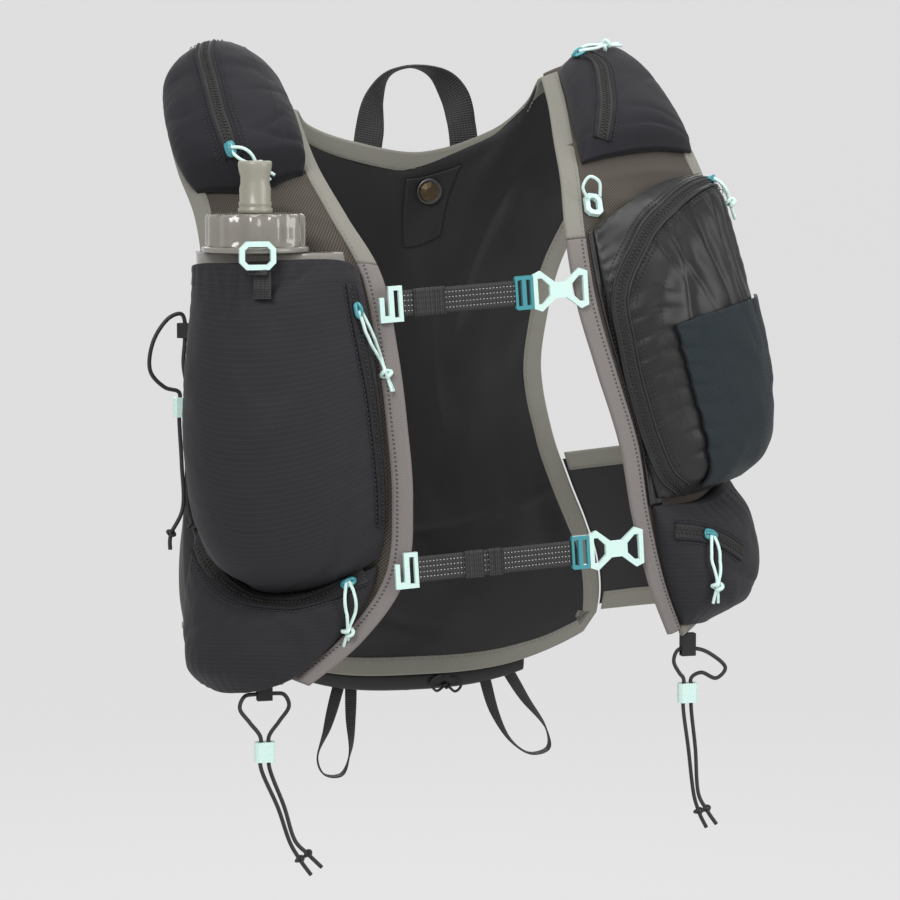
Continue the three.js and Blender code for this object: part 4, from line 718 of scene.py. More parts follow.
pocket_piece("shoulder_pocket_left_cloth", shoulder_left, NAVY_TWILL, "navy_cloth", ["shoulder_pocket_left"])
pocket_piece("shoulder_pocket_right_cloth", shoulder_right, NAVY_TWILL, "navy_cloth",
             ["shoulder_pocket_right"])
pocket_piece("bottle_pocket_cloth", bottle, NAVY, "navy_cloth", ["bottle_pocket"], 110, 140, POCKET_WALL)
pocket_piece("lower_pocket_left_cloth", lower_left, NAVY, "navy_cloth", ["lower_pocket_left"], 120, 90)
pocket_piece("main_pocket_cloth", main_pocket, NYLON, "black_cloth", ["main_pocket"], 120, 160)
pocket_piece("lower_pocket_right_cloth", lower_right, NAVY, "navy_cloth", ["lower_pocket_right"], 110, 80)
pocket_piece("rear_pack_cloth", rear_pack, NYLON, "black_cloth", ["rear_pack"], 110, 126, POCKET_WALL)

# The stretch mesh pocket lies smoothly over the main pocket's outer half
mesh_s, mesh_t = np.meshgrid(np.linspace(.25, .9, 70), np.linspace(.42, .97, 80))
mesh_rise = 1.6 + 1.4 * np.sin(math.pi * (mesh_s - .25) / .65)
mesh = skin(Shape(), main_pocket.face(mesh_s, mesh_t, 2.4 + mesh_rise),
            main_pocket.face(mesh_s, mesh_t, .6 + mesh_rise))
mesh.make("mesh_pocket_cloth", STRETCH, "stretch_mesh", ["mesh_pocket"])

# Panels, wings and back
def soft_waves(u, v, wide, long, seed, deep):
    x, y = u * wide, v * long
    out = deep * noise(x / 42, y / 55, seed) + deep * .5 * noise(x / 19, y / 30, seed + 1)
    edge = np.minimum(np.minimum(u, 1 - u) * wide, np.minimum(v, 1 - v) * long)
    return out * np.clip((edge - 4) / 18, 0, 1)


INSET = .35


def cloth_piece(name, surface, outward, mat, slot, nodes, counts, margins, waves):
    u0, u1, v0, v1 = margins
    u, v = np.meshgrid(np.linspace(u0, u1, counts[0]), np.linspace(v0, v1, counts[1]))
    move = waves(u, v)
    upper = over_crest(surface, outward, u, v, move - INSET)
    lower = over_crest(surface, outward, u, v, move - CLOTH + INSET)
    ob = skin(Shape(), upper, lower).make(name, mat, slot, nodes)
    top = over_crest(surface, outward, u, v, move)


def back_waves(u, v):
    x, y = (u - .5) * BACK_WIDE, v * BACK_LONG
    out = soft_waves(u, v, BACK_WIDE, BACK_LONG, 7, 2.4)
    for x0, y0, turn, long, wide, deep in BACK_FOLDS:
        out = out + ridge(x - x0, y - y0, turn, long, wide, deep)
    return out


BACK_WIDE, BACK_LONG = 240, 380
BACK_FOLDS = [(-40, 120, 1.2, 60, 5, 2.2), (20, 170, 1.45, 70, 5, -2.0), (50, 110, 1.9, 50, 5, 1.8),
              (-10, 250, 1.5, 60, 6, 1.8), (-60, 210, 1.3, 60, 5, -1.6), (30, 300, .2, 60, 4, -1.6),
              (0, 275, .05, 110, 3, 1.6), (-30, 335, .3, 50, 5, 1.6)]
STRAP_WIDE, STRAP_LONG, FOLD_SHARE = 110, 430, .7
STRAP_FOLDS = [(.3, .235, .2, 40, 2.6, 2.4), (.5, .3, -.15, 50, 3, 2.6), (.6, .36, .1, 50, 3, 2.2)]


def strap_waves(seed):
    def waves(u, v):
        out = soft_waves(u, v, STRAP_WIDE, STRAP_LONG, seed, 1.2)
        for u0, v0, turn, long, wide, deep in STRAP_FOLDS:
            a, b = (u - u0) * STRAP_WIDE, (v - v0) * STRAP_LONG
            out = out + ridge(a, b, turn, long, wide, FOLD_SHARE * deep)
        return out
    return waves


for word, panel, out, long, seed in (("left", left_panel, 1, 452, 3), ("right", right_panel, -1, 440, 5)):
    cloth_piece(f"front_panel_{word}_cloth", panel, out, STRAP, "strap_mesh", [f"front_panel_{word}"],
                (60, 180), (.03, .97, .004, .985), strap_waves(seed))
for word, wing, out, seed in (("left", left_wing, -1, 11), ("right", right_wing, 1, 13)):
    cloth_piece(f"wing_{word}_cloth", wing, out, INNER, "black_cloth", [f"wing_{word}"], (60, 50),
                (.01, .985, .04, .96), lambda u, v: soft_waves(u, v, WING_WIDE, WING_LONG, seed, 1.5))
cloth_piece("back_panel_cloth", back_surface, 1, INNER, "black_cloth", ["back_panel"],
            (110, 160), (.015, .985, .01, .99), back_waves)

# Edge tapes and rails
INWARD = {"near": (1, 0), "far": (-1, 0), "top": (0, 1), "low": (0, -1)}


def tape_run(surface, outward, side, first, last, count):
    place = np.linspace(first, last, count)
    u, v = {"near": (0 * place, place), "far": (0 * place + 1, place),
            "top": (place, 0 * place), "low": (place, 0 * place + 1)}[side]
    du, dv = INWARD[side]
    edge = surface(u, v)
    into = unit(surface(u + du * .02, v + dv * .02) - edge)
    normal = crest_normal(surface, outward, u, v)
    return edge, into, unit(normal - dot(normal, into) * into)


def join_runs(*runs):
    edge, into, normal = (np.concatenate([r[k] for r in runs]) for k in range(3))
    keep = np.concatenate([[True], np.linalg.norm(np.diff(edge, axis=0), axis=1) > 0.35])
    edge, into, normal = edge[keep], into[keep], normal[keep]
    for _ in range(3):
        into[1:-1] = unit(into[:-2] + 2 * into[1:-1] + into[2:])
    return edge, into, unit(normal - dot(normal, into) * into)


CORNER = 0.012
RAIL_TOP_LEFT, RAIL_TOP_RIGHT, RAIL_END = 0.385, 0.41, 0.985
NECK_FROM = (1 - NECK_CORNER) / 2 + CORNER


def tape_section(width, thick, puff):
    """From the folded edge round both faces, over the inner edge's step."""
    low = -CLOTH - (thick - CLOTH) / 2
    high = low + thick
    mid, half = (low + high) / 2, thick / 2
    a = np.linspace(-math.pi / 2, math.pi / 2, 7)
    fold = np.stack([half * (1 - np.cos(a)), mid + half * np.sin(a)], -1)
    x = np.linspace(half * 1.6, width - .5, 7)
    swell = puff * np.sin(math.pi * (x - x[0]) / (x[-1] - x[0]))
    outer = np.stack([x, high + swell], -1)
    inner = np.stack([x[::-1], low - swell[::-1]], -1)
    edge = arr([(width, high - .5), (width, low + .5)])
    return np.concatenate([fold, outer, edge, inner])


def tape_piece(name, run, width, thick, mat, thread, slot, node, rows, pitch, puff=.3):
    edge, into, normal = run
    wobble = .25 * noise(np.arange(len(edge)) / 6, np.zeros(len(edge)), len(name))
    sweep(Shape(), edge, into, normal + into * wobble[:, None] * .1,
          tape_section(width, thick, puff)).make(name, mat, slot, [node])
    low = -CLOTH - (thick - CLOTH) / 2
    seam = Shape()
    for across in rows:
        for level, way in ((low + thick + puff * .4, 1), (low - puff * .4, -1)):
            stitch_row(seam, edge + into * across + normal * level, normal * way, pitch)
    seam.make(name + "_stitching", thread, slot)


neck_run = join_runs(tape_run(left_panel, 1, "near", RAIL_TOP_LEFT, CORNER, 90),
                     tape_run(back_surface, 1, "top", NECK_FROM, 1 - NECK_FROM, 110),
                     tape_run(right_panel, -1, "near", CORNER, RAIL_TOP_RIGHT, 90))
back_run = join_runs(tape_run(back_surface, 1, "near", CORNER, 1 - 2 * CORNER, 150),
                     tape_run(back_surface, 1, "low", 2 * CORNER, 1 - 2 * CORNER, 100),
                     tape_run(back_surface, 1, "far", 1 - 2 * CORNER, CORNER, 150))


def olive_piece(name, run, node):
    tape_piece(name, run, TAPE_WIDTH, TAPE_THICK, OLIVE, OLIVE_THREAD, "olive_tape", node,
               (TAPE_WIDTH - 2,), 3.2)


olive_piece("neck_tape", neck_run, "neck_binding")
olive_piece("back_tape", back_run, "back_binding")
for word, panel, out, wing, wing_out, rail_top in (
        ("left", left_panel, 1, left_wing, -1, RAIL_TOP_LEFT),
        ("right", right_panel, -1, right_wing, 1, RAIL_TOP_RIGHT)):
    arm = join_runs(tape_run(panel, out, "far", CORNER, WING_FRONT - CORNER, 110),
                    tape_run(wing, wing_out, "top", 1 - 2 * CORNER, 2 * CORNER, 60))
    hem = join_runs(tape_run(panel, out, "low", .17, 1 - 4 * CORNER, 30),
                    tape_run(wing, wing_out, "low", 1 - 2 * CORNER, 2 * CORNER, 60))
    rail = tape_run(panel, out, "near", rail_top + .002, RAIL_END, 170)
    olive_piece(f"armhole_tape_{word}", arm, f"armhole_binding_{word}")
    olive_piece(f"hem_tape_{word}", hem, f"hem_binding_{word}")
    tape_piece(f"rail_tape_{word}", rail, RAIL_WIDTH, RAIL_THICK, RAIL_MAT, DARK_THREAD, "rail_tape",
               f"rail_{word}", (RAIL_WIDTH * .7, RAIL_WIDTH * .7 + .7), 2.6, puff=.5)

# Webbing
def webbing(name, line, across, width, thick, node, slot="black_webbing", count=90, tracer=False, ribs=7):
    line = spline(line, count)
    tangent = slopes(line)
    across = arr([across(k) for k in np.linspace(0, 1, count)])
    across = unit(across - dot(across, tangent) * tangent)
    up = np.cross(tangent, across)
    sweep(Shape(), line, across, up, flat_section(width, thick, ribs, .22)).make(name, WEB, slot, [node])
    if tracer:
        seam = Shape()
        for off in (-width * .3, -width * .1, width * .1, width * .3):
            for way in (1, -1):
                row = line + across * off + up * way * (thick / 2 - .05)
                stitch_row(seam, row, up * way, 2.1, .45, .5, .35, 0)
        seam.make(name + "_tracer", REFLECT, slot)


HAUL_LINE = [(-36.5, 36, -66), (-36.5, 34.7, -57), (-35.5, 34.1, -48), (-33.5, 35.3, -36), (-29, 38.8, -14),
             (-18, 42, 2), (-2, 43.5, 7), (13.5, 42, 2), (24.5, 39, -12), (28.5, 35.8, -31),
             (29.5, 34.3, -43), (30, 35, -52), (30, 35.8, -60)]


def haul_across(place):
    turn = math.pi * min(max((place - .18) / .64, 0), 1)
    return (math.cos(turn), math.sin(turn), 0)


webbing("haul_loop_webbing", HAUL_LINE, haul_across, HAUL_WIDTH, HAUL_THICK, "haul_loop", ribs=9)
POLE_LINES = {
    "left": [(-46, 70, -399), (-56, 64, -428), (-64, 59, -448), (-60, 57, -458),
             (-48, 58, -459), (-41, 62, -445), (-39, 68, -422), (-38, 71, -400.6)],
    "right": [(53, 69, -396), (60, 64, -424), (70, 59, -443), (83, 57, -452),
              (96, 58, -449), (95, 60, -436), (80, 63, -414), (66, 66, -390.2)],
}


def pole_across(place):
    """Flat to the front at both feet, edge on at the bend."""
    turn = math.sin(math.pi * place) ** 2 * math.pi / 2
    return (math.cos(turn), math.sin(turn), 0)


for word, line in POLE_LINES.items():
    webbing(f"pole_loop_{word}_webbing", line, pole_across, POLE_WIDTH, POLE_THICK, f"pole_loop_{word}",
            ribs=4)

# Chest straps and their buckles
CHEST_STRAPS = {"upper": (.443, .48, 0, 6), "lower": (.789, .842, -1, -2)}
STRAP_LIFT = 4.4
KEEPERS = {"upper": [(.2, 15, 3.4), (.3, 11, 2.6)], "lower": [(.36, 12, 3.0), (.5, 9, 2.2)]}
for word, (left_at, right_at, hook, cross) in CHEST_STRAPS.items():
    start = on_surface(left_panel, 1, arr(0.0), arr(left_at), STRAP_LIFT)
    end = on_surface(right_panel, -1, arr(0.0), arr(right_at), STRAP_LIFT)
    along, reach = unit(end - start), np.linalg.norm(end - start)
    frame_at = reach + cross - CROSS_LONG - GAP - FRAME_LONG / 2
    first, last = hook + HOOK_LONG / 2 + GAP, frame_at - FRAME_LONG / 2 - GAP
    place = lambda d: start + along * d
    webbing(f"sternum_strap_{word}_webbing", [place(first), place((first + last) / 2), place(last)],
            lambda k: (0, 0, 1), WEBBING_WIDTH, WEBBING_THICK, f"sternum_strap_{word}", tracer=True, ribs=5)
    up = unit(np.cross(along, UP)) if np.cross(along, UP)[1] < 0 else -unit(np.cross(along, UP))
    side = np.cross(up, along)
    bunch = Shape()
    for share, long, thick in KEEPERS[word]:
        centre = place(first + (last - first) * share)
        k = np.linspace(0, 1, 40)
        line = centre + along * (k[:, None] - .5) * long + up * (WEBBING_THICK / 2 + .2)
        ends = np.clip(np.minimum(k, 1 - k) * 10, .12, 1)
        section = np.stack([flat_section(WEBBING_WIDTH + 1.2, thick * w, 5, .25) for w in ends])
        sweep(bunch, line + up * (.25 * np.sin(k * 30))[:, None], side, up, section)
    bunch.make(f"strap_keeper_{word}", WEB, "black_webbing")

# CAD pieces that are shown as they are get their finish and soft edges
KEPT_FINISH = {"g_hook": MINT, "buckle_frame": TEAL, "cross_plate": MINT, "cord_lock": MINT, "tab_": WEB,
               "bottle_hook": MINT, "strap_clip": MINT, "snap": BRASS_MAT}
for node in NODES:
    for start, mat in KEPT_FINISH.items():
        if node.startswith(start):
            NODES[node].data.materials.clear()
            NODES[node].data.materials.append(mat)
            bevel = NODES[node].modifiers.new("soft_edges", "BEVEL")
            bevel.width, bevel.segments, bevel.limit_method = .0009, 3, "ANGLE"

# Zips, sliders and their cord pulls
ZIPS = {
    "shoulder_left": (shoulder_left, .98, (.44, .97),
                      [(.63, .05), (.6, .3), (.585, .565), (.58, .8), (.58, .95)]),
    "bottle_left": (bottle, .1, (-.02, .35), [(.07, .06), (.05, .265), (.03, .435), (.02, .645), (.01, .88)]),
    "lower_left": (lower_left, .94, (.01, .5),
                   [(.95, .05), (.84, .045), (.645, .05), (.44, .085), (.28, .115), (.175, .085), (.105, .06),
                    (.04, .04)]),
    "shoulder_right": (shoulder_right, .04, (.52, .17),
                       [(.2, .14), (.28, .16), (.355, .27), (.29, .525), (.2, .795), (.14, .94)]),
    "main": (main_pocket, .04, (.95, .13),
             [(.94, .045), (.795, .055), (.435, .095), (.215, .135), (.06, .245), (.03, .435), (.02, .64),
              (.025, .8), (.065, .92), (.15, .97)]),
    "lower_right": (lower_right, .42, (.19, .6), [(.05, .185), (.185, .21), (.32, .27), (.465, .385)]),
}


def knot(shape, centre, along, size):
    """A small tied knot: three crossing rings."""
    along = unit(arr(along))
    a = unit(np.cross(along, [.2, .9, .3]))
    b = np.cross(along, a)
    turn = np.linspace(0, 2 * math.pi, 60)[:, None]
    line = arr(centre) + size * ((np.cos(turn) + .45 * np.cos(3 * turn)) * a * .75
                                 + (np.sin(2 * turn)) * b * .6 + np.sin(turn) * along * .8)
    return tube(shape, line, size * .42, 8)


def cord_curve(name, line, diameter, mat, slot, nodes=()):
    curve = bpy.data.curves.new(name, "CURVE")
    curve.dimensions, curve.bevel_depth, curve.bevel_resolution = "3D", diameter / 2 * MM, 2
    curve.use_fill_caps = True
    path = curve.splines.new("POLY")
    path.points.add(len(line) - 1)
    path.points.foreach_set("co", np.concatenate([arr(line) * MM, np.ones((len(line), 1))], 1).ravel())
    path.use_smooth = True
    curve.materials.append(mat)
    return dressed(put(name, curve), slot, nodes)


def length_of(line):
    return float(np.linalg.norm(np.diff(arr(line), axis=0), axis=1).sum())


ZIP_STEPS, TOOTH_PITCH = 120, 1.25
for word, (pocket, slide, pull, line) in ZIPS.items():
    st = spline([(s, t, 0) for s, t in line], ZIP_STEPS)[:, :2]
    s, t = st[:, 0], st[:, 1]
    base, normal = pocket.face(s, t), pocket.normal(s, t)
    for _ in range(3):
        base[1:-1] = (base[:-2] + 2 * base[1:-1] + base[2:]) / 4
        normal[1:-1] = unit(normal[:-2] + 2 * normal[1:-1] + normal[2:])
    tangent = slopes(base)
    across = unit(np.cross(normal, tangent))
    body = Shape()
    x = np.linspace(-1, 1, 15)
    lift = .75 + .12 * np.cos(x * math.pi * 6)
    top = np.stack([x * ZIP_WIDTH / 2, lift], -1)
    low = np.stack([x[::-1] * ZIP_WIDTH / 2, x * 0 - .8], -1)
    sweep(body, base, across, normal, np.concatenate([top, low]))
    body.make(f"zip_{word}_tape", ZIP, "zip_tape", [f"zip_{word}"])
    teeth = Shape()
    run = run_of(base)
    at = np.arange(0.8, run[-1], TOOTH_PITCH)
    pick = lambda v: np.stack([np.interp(at, run, v[:, k]) for k in range(3)], -1)
    c, n, a = pick(base), unit(pick(normal)), unit(pick(across))
    turn = np.where(np.arange(len(at)) % 2 == 0, 1.0, -1.0)[:, None]
    slope = unit(a + np.cross(a, n) * turn * .55)
    blocks(teeth, c + n * 1.0 + a * turn * 1.15, np.cross(slope, n), slope, n, (.62, 2.5, .7))
    teeth.make(f"zip_{word}_coil", COIL, "zip_tape")
    welt = Shape()
    for way in (-1, 1):
        tube(welt, base + across * way * (ZIP_WIDTH / 2 + .3) + normal * .5, .95, 8)
    welt.make(f"zip_{word}_piping", NYLON if word == "main" else NAVY_TWILL, "black_cloth")
    seam = Shape()
    for way in (-1, 1):
        for off in (2.6, 5.2) if word in ("main", "shoulder_left") else (2.6,):
            row = base + across * way * (ZIP_WIDTH / 2 + off) + normal * 2.0
            stitch_row(seam, row - normal * (1.2 + off * .18), normal, 2.8, .6, .5, .45, 0)
    seam.make(f"zip_{word}_stitching", DARK_THREAD, "zip_tape")
    # slider: a shouldered body with a bridge, then the pull cord with its knot and tail
    k = int(slide * (ZIP_STEPS - 1))
    c, n, a, d = base[k], normal[k], across[k], tangent[k]
    slider = Shape()
    long = np.linspace(-1, 1, 17)
    half = 3.4 * (1 - .32 * np.clip(long, 0, 1) ** 2) * np.sqrt(np.clip(1 - np.abs(long) ** 5, .05, 1))
    section = [[(-w, .2), (-w, 1.1), (-w * .8, 1.6), (w * .8, 1.6), (w, 1.1), (w, .2)] for w in half]
    sweep(slider, c + n * 1.3 + d * long[:, None] * 5, a, n, section)
    arch = np.linspace(0, math.pi, 15)[:, None]
    tube(slider, c + n * (2.6 + 2.0 * np.sin(arch)) + d * np.cos(arch) * 3.6, 1.0, 8)
    slider.make(f"slider_{word}", TEAL, "teal_plastic")
    p0, p1 = arr(st[k]), arr(pull)
    go = np.linspace(0, 1, 12)[:, None]
    mid = p0 + (p1 - p0) * go
    centre = pocket.face(mid[:, 0], mid[:, 1]) + pocket.normal(mid[:, 0], mid[:, 1]) * 3.4
    centre = spline(centre, 12)
    way = slopes(centre)
    cross_way = unit(np.cross(pocket.normal(mid[:, 0], mid[:, 1]), way))
    spread = 2.6 * np.sin(np.clip(go * 1.1, 0, 1) * math.pi)
    out_line, back_line = centre + cross_way * (spread + .7), centre - cross_way * (spread + .7)
    tip = centre[-1] + way[-1] * 2.2
    loop = spline(np.concatenate([out_line, [tip], back_line[::-1]]), 90)
    cord = cord_curve(f"pull_cord_{word}", loop, PULL_CORD, MINT_CORD, "mint_cord", [f"pull_{word}"])
    tail = Shape()
    knot(tail, centre[-1] + way[-1] * 1.0, way[-1], 2.9)
    end = centre[-1] + way[-1] * 2
    for off in (-1.2, 1.2):
        aside = cross_way[-1] * off
        tail_line = [end, end + way[-1] * 5 + aside, end + way[-1] * 10 + aside * 1.6]
        tube(tail, spline(tail_line, 12), PULL_CORD / 2, 8)
    knot_piece = tail.make(f"pull_knot_{word}", MINT_CORD, "mint_cord")
    length_of(loop) * MM

# Cinch cords, as in the CAD part
CINCHES = {
    "low_left": (left_panel(arr(.3), arr(1.0)) + arr([0, 4, 0]), (0, 0, -1), (0, 0, -35),
                 [(21, 0, -102), (15.4, 0, -92), (8, 0, -70)],
                 [(-9, 0, -17), (-15, 0, -8), (-12, 0, -1), (-6, 0, 0),
                  (6, 0, 0), (12, 0, -1), (15, 0, -8), (9, 0, -17)],
                 [(11.6, 0, -69), (18.6, 0, -91), (26, 0, -99)]),
    "low_right": (right_panel(arr(.24), arr(1.0)), (0, 0, -1), (0, 0, -27),
                  [(8, 0, -102), (5, 0, -92), (1, 0, -62)],
                  [(-5, 0, -15), (-9, 0, -7), (-6, 0, 0), (6, 0, 0),
                   (14, 0, -3), (25, 0, -13), (19, 0, -19), (9, 0, -15)],
                  [(5.6, 0, -62), (8.2, 0, -92), (13, 0, -101)]),
    "side_left": (left_panel(arr(1.0), arr(.485)), unit(arr([-.77, .64, 0])), (-1, 1, -46),
                  [(-9, 2, -122), (-2, 2, -108), (-2.4, 1, -80)],
                  [(-12, 1, -34), (-21, 0, -24), (-19, 0, -6), (-9, 0, 8),
                   (-2, 0, 10), (0, 0, 6), (0, 0, -6), (-1, 0, -20)],
                  [(.8, 1, -78), (1.2, 2, -106), (4, 2, -118)]),
}
BORE_OFF = 2.6
for word, (edge, hang, lock, before, loop, after) in CINCHES.items():
    slot_centre = edge + arr(hang) * TAB_LONG * .72
    lock_centre = slot_centre + arr(lock)
    bores = lambda x, ends: [lock_centre + arr([x, 0, k * LOCK_HIGH]) for k in ends]
    placed = lambda rows: [slot_centre + arr(r) for r in rows]
    line = spline(placed(before) + bores(-BORE_OFF, (-.75, 0, .75)) + placed(loop)
                  + bores(BORE_OFF, (.75, 0, -.75)) + placed(after), 241)
    top = int(np.argmin(np.linalg.norm(line - slot_centre, axis=1)))
    strands = {"a": line[:top + 1][::-1], "b": line[top:]}
    for letter, strand in strands.items():
        end, way = strand[-1], slopes(strand)[-1]
        tip = Shape()
        knot(tip, end, way, CINCH_CORD * .9)
        tube(tip, spline([end, end + way * 4 + arr([1, 0, -1]), end + way * 8 + arr([3, 0, -3])], 10),
             CINCH_CORD / 2, 8)
        knot_piece = tip.make(f"cinch_knot_{word}_{letter}", BLACK_CORD, "black_cord")
        cord = cord_curve(f"cinch_{word}_{letter}", strand, CINCH_CORD, BLACK_CORD, "black_cord",
                          [f"cinch_cord_{word}"])
        length_of(strand) * MM

# Soft flask
COLLAR_SEAT = on_surface(left_panel, 1, arr(.55), arr(.389), 33)
fs, ft = np.meshgrid(eased(60), np.linspace(-.1, .8, 70))
fs = .08 + .84 * fs
inner_high = bottle.plain(fs, ft) - POCKET_WALL - SEAT - 1.5
pouch_high = np.maximum(3 * SEAT, inner_high * (1 - .6 * np.clip(ft, 0, 1) ** 6))
pu, pv = bottle.place(fs, ft)
upper = on_surface(left_panel, 1, pu, pv, pouch_high)
lower = on_surface(left_panel, 1, pu, pv, 0 * pouch_high + 2 * SEAT)
upper[..., 2] = np.minimum(upper[..., 2], COLLAR_SEAT[2] - .5)
lower[..., 2] = np.minimum(lower[..., 2], COLLAR_SEAT[2] - .5)
skin(Shape(), upper, lower).make("flask_pouch", SMOKE, "flask_film", ["flask_body"])
collar = Shape()
lathe(collar, [(0.5, 0), (FLANGE_RADIUS - .6, 0), (FLANGE_RADIUS, .6), (FLANGE_RADIUS, FLANGE_HIGH - .6),
               (FLANGE_RADIUS - .6, FLANGE_HIGH), (COLLAR_RADIUS + .2, FLANGE_HIGH + .3)],
      COLLAR_SEAT, sides=120)
lathe(collar, [(COLLAR_RADIUS - .3, FLANGE_HIGH + .2), (COLLAR_RADIUS, FLANGE_HIGH + 1), (COLLAR_RADIUS, 8),
               (COLLAR_RADIUS, 14), (COLLAR_RADIUS, COLLAR_HIGH - 2), (COLLAR_RADIUS - 1, COLLAR_HIGH - .5),
               (COLLAR_RADIUS - 2.4, COLLAR_HIGH), (COLLAR_RADIUS - 4, COLLAR_HIGH - .6),
               (NOZZLE_RADIUS + 4, COLLAR_HIGH - .8), (NOZZLE_RADIUS + 3, COLLAR_HIGH), (0.5, COLLAR_HIGH)],
      COLLAR_SEAT, sides=240, flutes=12, deep=1.9, where=(1, 5))
collar.make("flask_collar_fluted", SMOKE, "flask_collar", ["flask_collar"])
nozzle = Shape()
lathe(nozzle, [(NOZZLE_RADIUS - .5, 0), (NOZZLE_RADIUS, .8), (NOZZLE_RADIUS, 2.6), (NOZZLE_RADIUS - .9, 3.4),
               (NOZZLE_RADIUS - .4, 4.6), (NOZZLE_RADIUS - .4, 6), (NOZZLE_RADIUS - 1, 7),
               (NOZZLE_RADIUS - .8, 14),
               (NOZZLE_RADIUS - 1.6, 17), (NOZZLE_RADIUS - 1.5, 21), (NOZZLE_RADIUS - .5, 25),
               (NOZZLE_RADIUS - .1, 28), (NOZZLE_RADIUS - .4, 29.6), (NOZZLE_RADIUS - 1.4, 30),
               (NOZZLE_RADIUS - 2.4, 29.4), (.3, 29)],
      COLLAR_SEAT + arr([0, 0, COLLAR_HIGH + GAP]), sides=48)
nozzle.make("flask_bite_nozzle", FILM, "flask_film", ["flask_nozzle"])

# Snap patch, seams and small stitching
SNAP_U, SNAP_V = .54, .08
patch_u, patch_v = np.meshgrid(np.linspace(SNAP_U - .056, SNAP_U + .056, 24),
                               np.linspace(SNAP_V - .03, SNAP_V + .1, 40))
patch_move = back_waves(patch_u, patch_v) - CLOTH
patch = skin(Shape(), over_crest(back_surface, 1, patch_u, patch_v, patch_move - .9),
             over_crest(back_surface, 1, patch_u, patch_v, patch_move + .2))
patch.make("snap_patch", INNER, "black_cloth")
patch_edge = Shape()
for du, dv in (((-.05, .05), (-.024, -.024)), ((-.05, .05), (.094, .094)), ((-.05, -.05), (-.024, .094)),
               ((.05, .05), (-.024, .094))):
    k = np.linspace(0, 1, 20)
    u, v = SNAP_U + du[0] + (du[1] - du[0]) * k, SNAP_V + dv[0] + (dv[1] - dv[0]) * k
    stitch_row(patch_edge, over_crest(back_surface, 1, u, v, back_waves(u, v) - CLOTH - 1.0),
               -crest_normal(back_surface, 1, u, v), 2.6, .6, .45, .4, 0)
patch_edge.make("snap_patch_stitching", DARK_THREAD, "black_cloth")
ring_shape = Shape()
snap_normal = -crest_normal(back_surface, 1, arr(SNAP_U), arr(SNAP_V))
lathe(ring_shape, [(4.6, 0), (8.2, 0), (8.6, .5), (8.2, 1.1), (7.4, 1.3), (6.9, .9)],
      over_crest(back_surface, 1, arr(SNAP_U), arr(SNAP_V), arr(-CLOTH - 1.0)), snap_normal, 48)
ring_shape.make("snap_ring", DARK_METAL, "brass")

# Hems, seams, tabs and the small cords
SEAMS = [
    ("bottle_hem_stitching", bottle, "navy_cloth", 2.6, [[(.03, .05), (.3, .05), (.6, .05), (.97, .05)]]),
    ("shoulder_left_seam", shoulder_left, "navy_cloth", 2.2, [[(.32, .05), (.25, .3), (.22, .6), (.2, .93)]]),
    ("main_pocket_seam", main_pocket, "black_cloth", 2.6,
     [[(.93, .11), (.6, .15), (.4, .2), (.26, .3), (.2, .42), (.19, .55)],
      [(.19, .55), (.19, .7), (.2, .8), (.26, .9)]]),
    ("lower_left_seam", lower_left, "navy_cloth", 2.6,
     [[(.96, .13), (.645, .14), (.44, .175), (.28, .205), (.1, .16)]]),
    ("lower_right_seam", lower_right, "navy_cloth", 2.6,
     [[(.03, .27), (.185, .3), (.32, .36), (.5, .47), (.7, .56)]]),
]
for name, pocket, slot, pitch, rows in SEAMS:
    seam = Shape()
    for row in rows:
        st = spline([(s, t, 0) for s, t in row], 90)
        s, t = st[:, 0], st[:, 1]
        stitch_row(seam, pocket.face(s, t), pocket.normal(s, t), pitch, .6, .5, .5, .1)
    seam.make(name, DARK_THREAD, slot)

# smooth border of thin nylon between the main pocket and the edge tape
border_u, border_v = np.meshgrid(np.linspace(0, 1, 30), np.linspace(0, 1, 90))
border_from, border_to = .105, .19
border_u = border_from + (border_to - border_from) * border_u
border_top = column([(.1, .405), (.19, .39)], 1, border_u)
border_v = border_top + (.79 - border_top) * border_v
border_lift = 1.6 + .4 * noise(border_u * 90, border_v * 14, 6)
border = skin(Shape(), over_crest(right_panel, -1, border_u, border_v, border_lift),
              over_crest(right_panel, -1, border_u, border_v, border_lift - 1))
border.make("main_pocket_border", NYLON, "black_cloth")


def centre_of(node):
    low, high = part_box(node)
    return arr((low + high) / 2) / MM


# stitched tab that holds the hook at the bottle pocket's mouth
hook = centre_of("bottle_hook")
tab_t = np.linspace(.002, .075, 24)
tab_face = bottle.face(arr(.62) + 0 * tab_t, tab_t)
tab_across = unit(bottle.face(arr(.66), arr(.03)) - bottle.face(arr(.58), arr(.03)))
tab_face = tab_face + (hook - tab_face[0]) @ tab_across * tab_across
tab_out = -np.cross(tab_across, UP) * np.sign(np.cross(tab_across, UP)[1])
tab_line = np.concatenate([[hook + arr([0, 1.5, -8]), hook + arr([0, .8, -11])], tab_face + tab_out * 1.2])
tab_line = spline(tab_line, 40)
tab = sweep(Shape(), tab_line, tab_across, tab_out, flat_section(11, 1.3, 4, .2))
tab.make("bottle_hook_tab", WEB, "black_webbing")
bar = Shape()
for row in (-3, -5, -7):
    stitch_row(bar, tab_line[row] + tab_across * np.linspace(-5, 5, 12)[:, None] + tab_out * .75,
               tab_out, 1.3, .6, .6, .5, 0)
bar.make("bottle_hook_bar_tack", DARK_THREAD, "black_webbing")

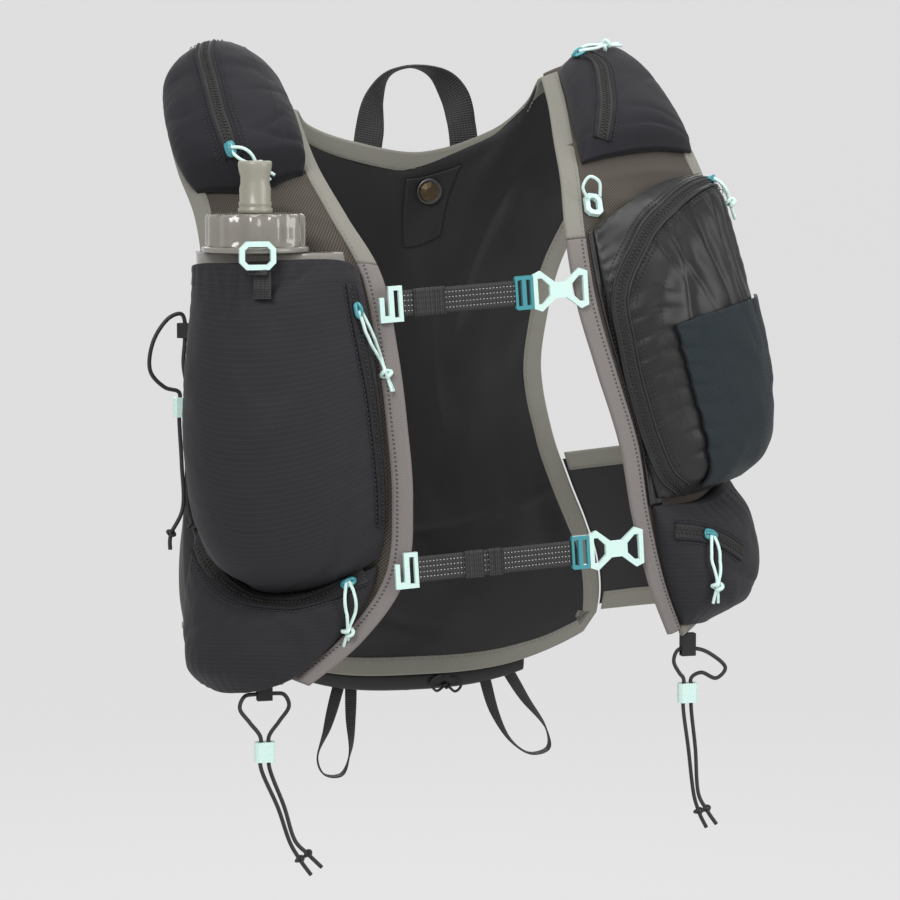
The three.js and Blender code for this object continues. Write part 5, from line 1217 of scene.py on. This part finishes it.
# seams where the wings meet the front panels
for word, panel, out in (("left", left_panel, 1), ("right", right_panel, -1)):
    seam_v = np.linspace(WING_FRONT + .02, .985, 60)
    seam_line, seam_into, seam_up = tape_run(panel, out, "far", seam_v[0], seam_v[-1], 60)
    sweep(Shape(), seam_line - seam_up * CLOTH / 2, seam_into, seam_up, ring(1, 16) * arr([5.5, 1.9])
          ).make(f"side_seam_{word}", INNER, "black_cloth")

# a mint loop above the clip on the right strap
clip_arc = arr([(-4, -1, 4), (-7, -1.5, 11), (-3, -2, 17), (3, -2, 14), (4, -1, 5)])
clip_loop = tube(Shape(), spline(centre_of("strap_clip") + clip_arc, 40), 1, 8)
clip_loop.make("strap_clip_loop", MINT_CORD, "mint_cord")

# the pack's lower edge below the hem, with a small bow of cord
edge_u = np.linspace(.2, .83, 80)
pack_edge = back_surface(edge_u, 0 * edge_u + 1) + arr([0, 9, -3.5]) - np.outer(
    2.2 * np.sin(np.pi * (edge_u - .2) / .63), UP)
sweep(Shape(), pack_edge, UP, (0, -1, 0), ring(1, 16) * arr([6.5, 3.2])
      ).make("rear_pack_edge", NYLON, "black_cloth")
bow_at = back_surface(arr(.6), arr(1.0)) + arr([0, 8, -6])
bow = Shape()
tube(bow, spline([bow_at + arr(p) for p in ((0, 0, 2), (-6, -3, 3), (-11, -4, -1), (-7, -4, -7), (0, -3, -4),
                                            (6, -4, -8), (10, -4, -4), (6, -3, 1), (0, 0, 2))], 90), .9, 8)
knot(bow, bow_at + arr([0, -3, -4]), [0, 0, 1], 2)
bow.make("rear_pack_bow", BLACK_CORD, "black_cord")

# Stage, light and picture
def stage_piece(name, points, faces, colour):
    me = bpy.data.meshes.new(name)
    me.from_pydata(points, [], faces)
    me.polygons.foreach_set("use_smooth", [True] * len(me.polygons))
    mat = bpy.data.materials.new(name)
    mat.use_nodes = True
    shader = mat.node_tree.nodes["Principled BSDF"]
    shader.inputs["Base Color"].default_value = (*colour, 1)
    shader.inputs["Roughness"].default_value = 0.9
    shader.inputs["Specular IOR Level"].default_value = 0.0
    shader.inputs["Emission Color"].default_value = (1, 1, 1, 1)
    shader.inputs["Emission Strength"].default_value = 0.66
    me.materials.append(mat)
    put(name, me)


profile = [(-9, -1.0), (3.0, -1.0), (4.2, -.85), (5.2, -.3), (5.8, .8), (6.0, 2.2), (6.0, 9)]
stage_points = [(x, y, z) for y, z in profile for x in (-12, 12)]
stage_faces = [(2 * k, 2 * k + 1, 2 * k + 3, 2 * k + 2) for k in range(len(profile) - 1)]
stage_piece("pale_floor", stage_points, stage_faces, (.12, .12, .12))


def area_light(name, place, aim, size, power, colour=(1, 1, 1)):
    data = bpy.data.lights.new(name, "AREA")
    data.shape, data.size, data.energy, data.color = "DISK", size, power, colour
    ob = put(name, data)
    ob.location = place
    ob.rotation_mode = "QUATERNION"
    ob.rotation_quaternion = (Vector(aim) - Vector(place)).to_track_quat("-Z", "Y")


AIM = (0, -.05, -.2)
area_light("key", (-1.5, -2.2, 1.5), AIM, 1.4, 54)
area_light("fill", (2.0, -1.8, .5), AIM, 1.6, 28)
area_light("top", (.1, -.2, 2.2), AIM, 1.6, 28)
area_light("rim", (.4, 2.0, .9), AIM, 1.4, 16)
world = bpy.data.worlds.new("studio")
world.use_nodes = True
world.node_tree.nodes["Background"].inputs["Color"].default_value = (.9, .9, .9, 1)
world.node_tree.nodes["Background"].inputs["Strength"].default_value = 0.47
bpy.context.scene.world = world
bpy.context.scene.view_settings.view_transform = "Standard"
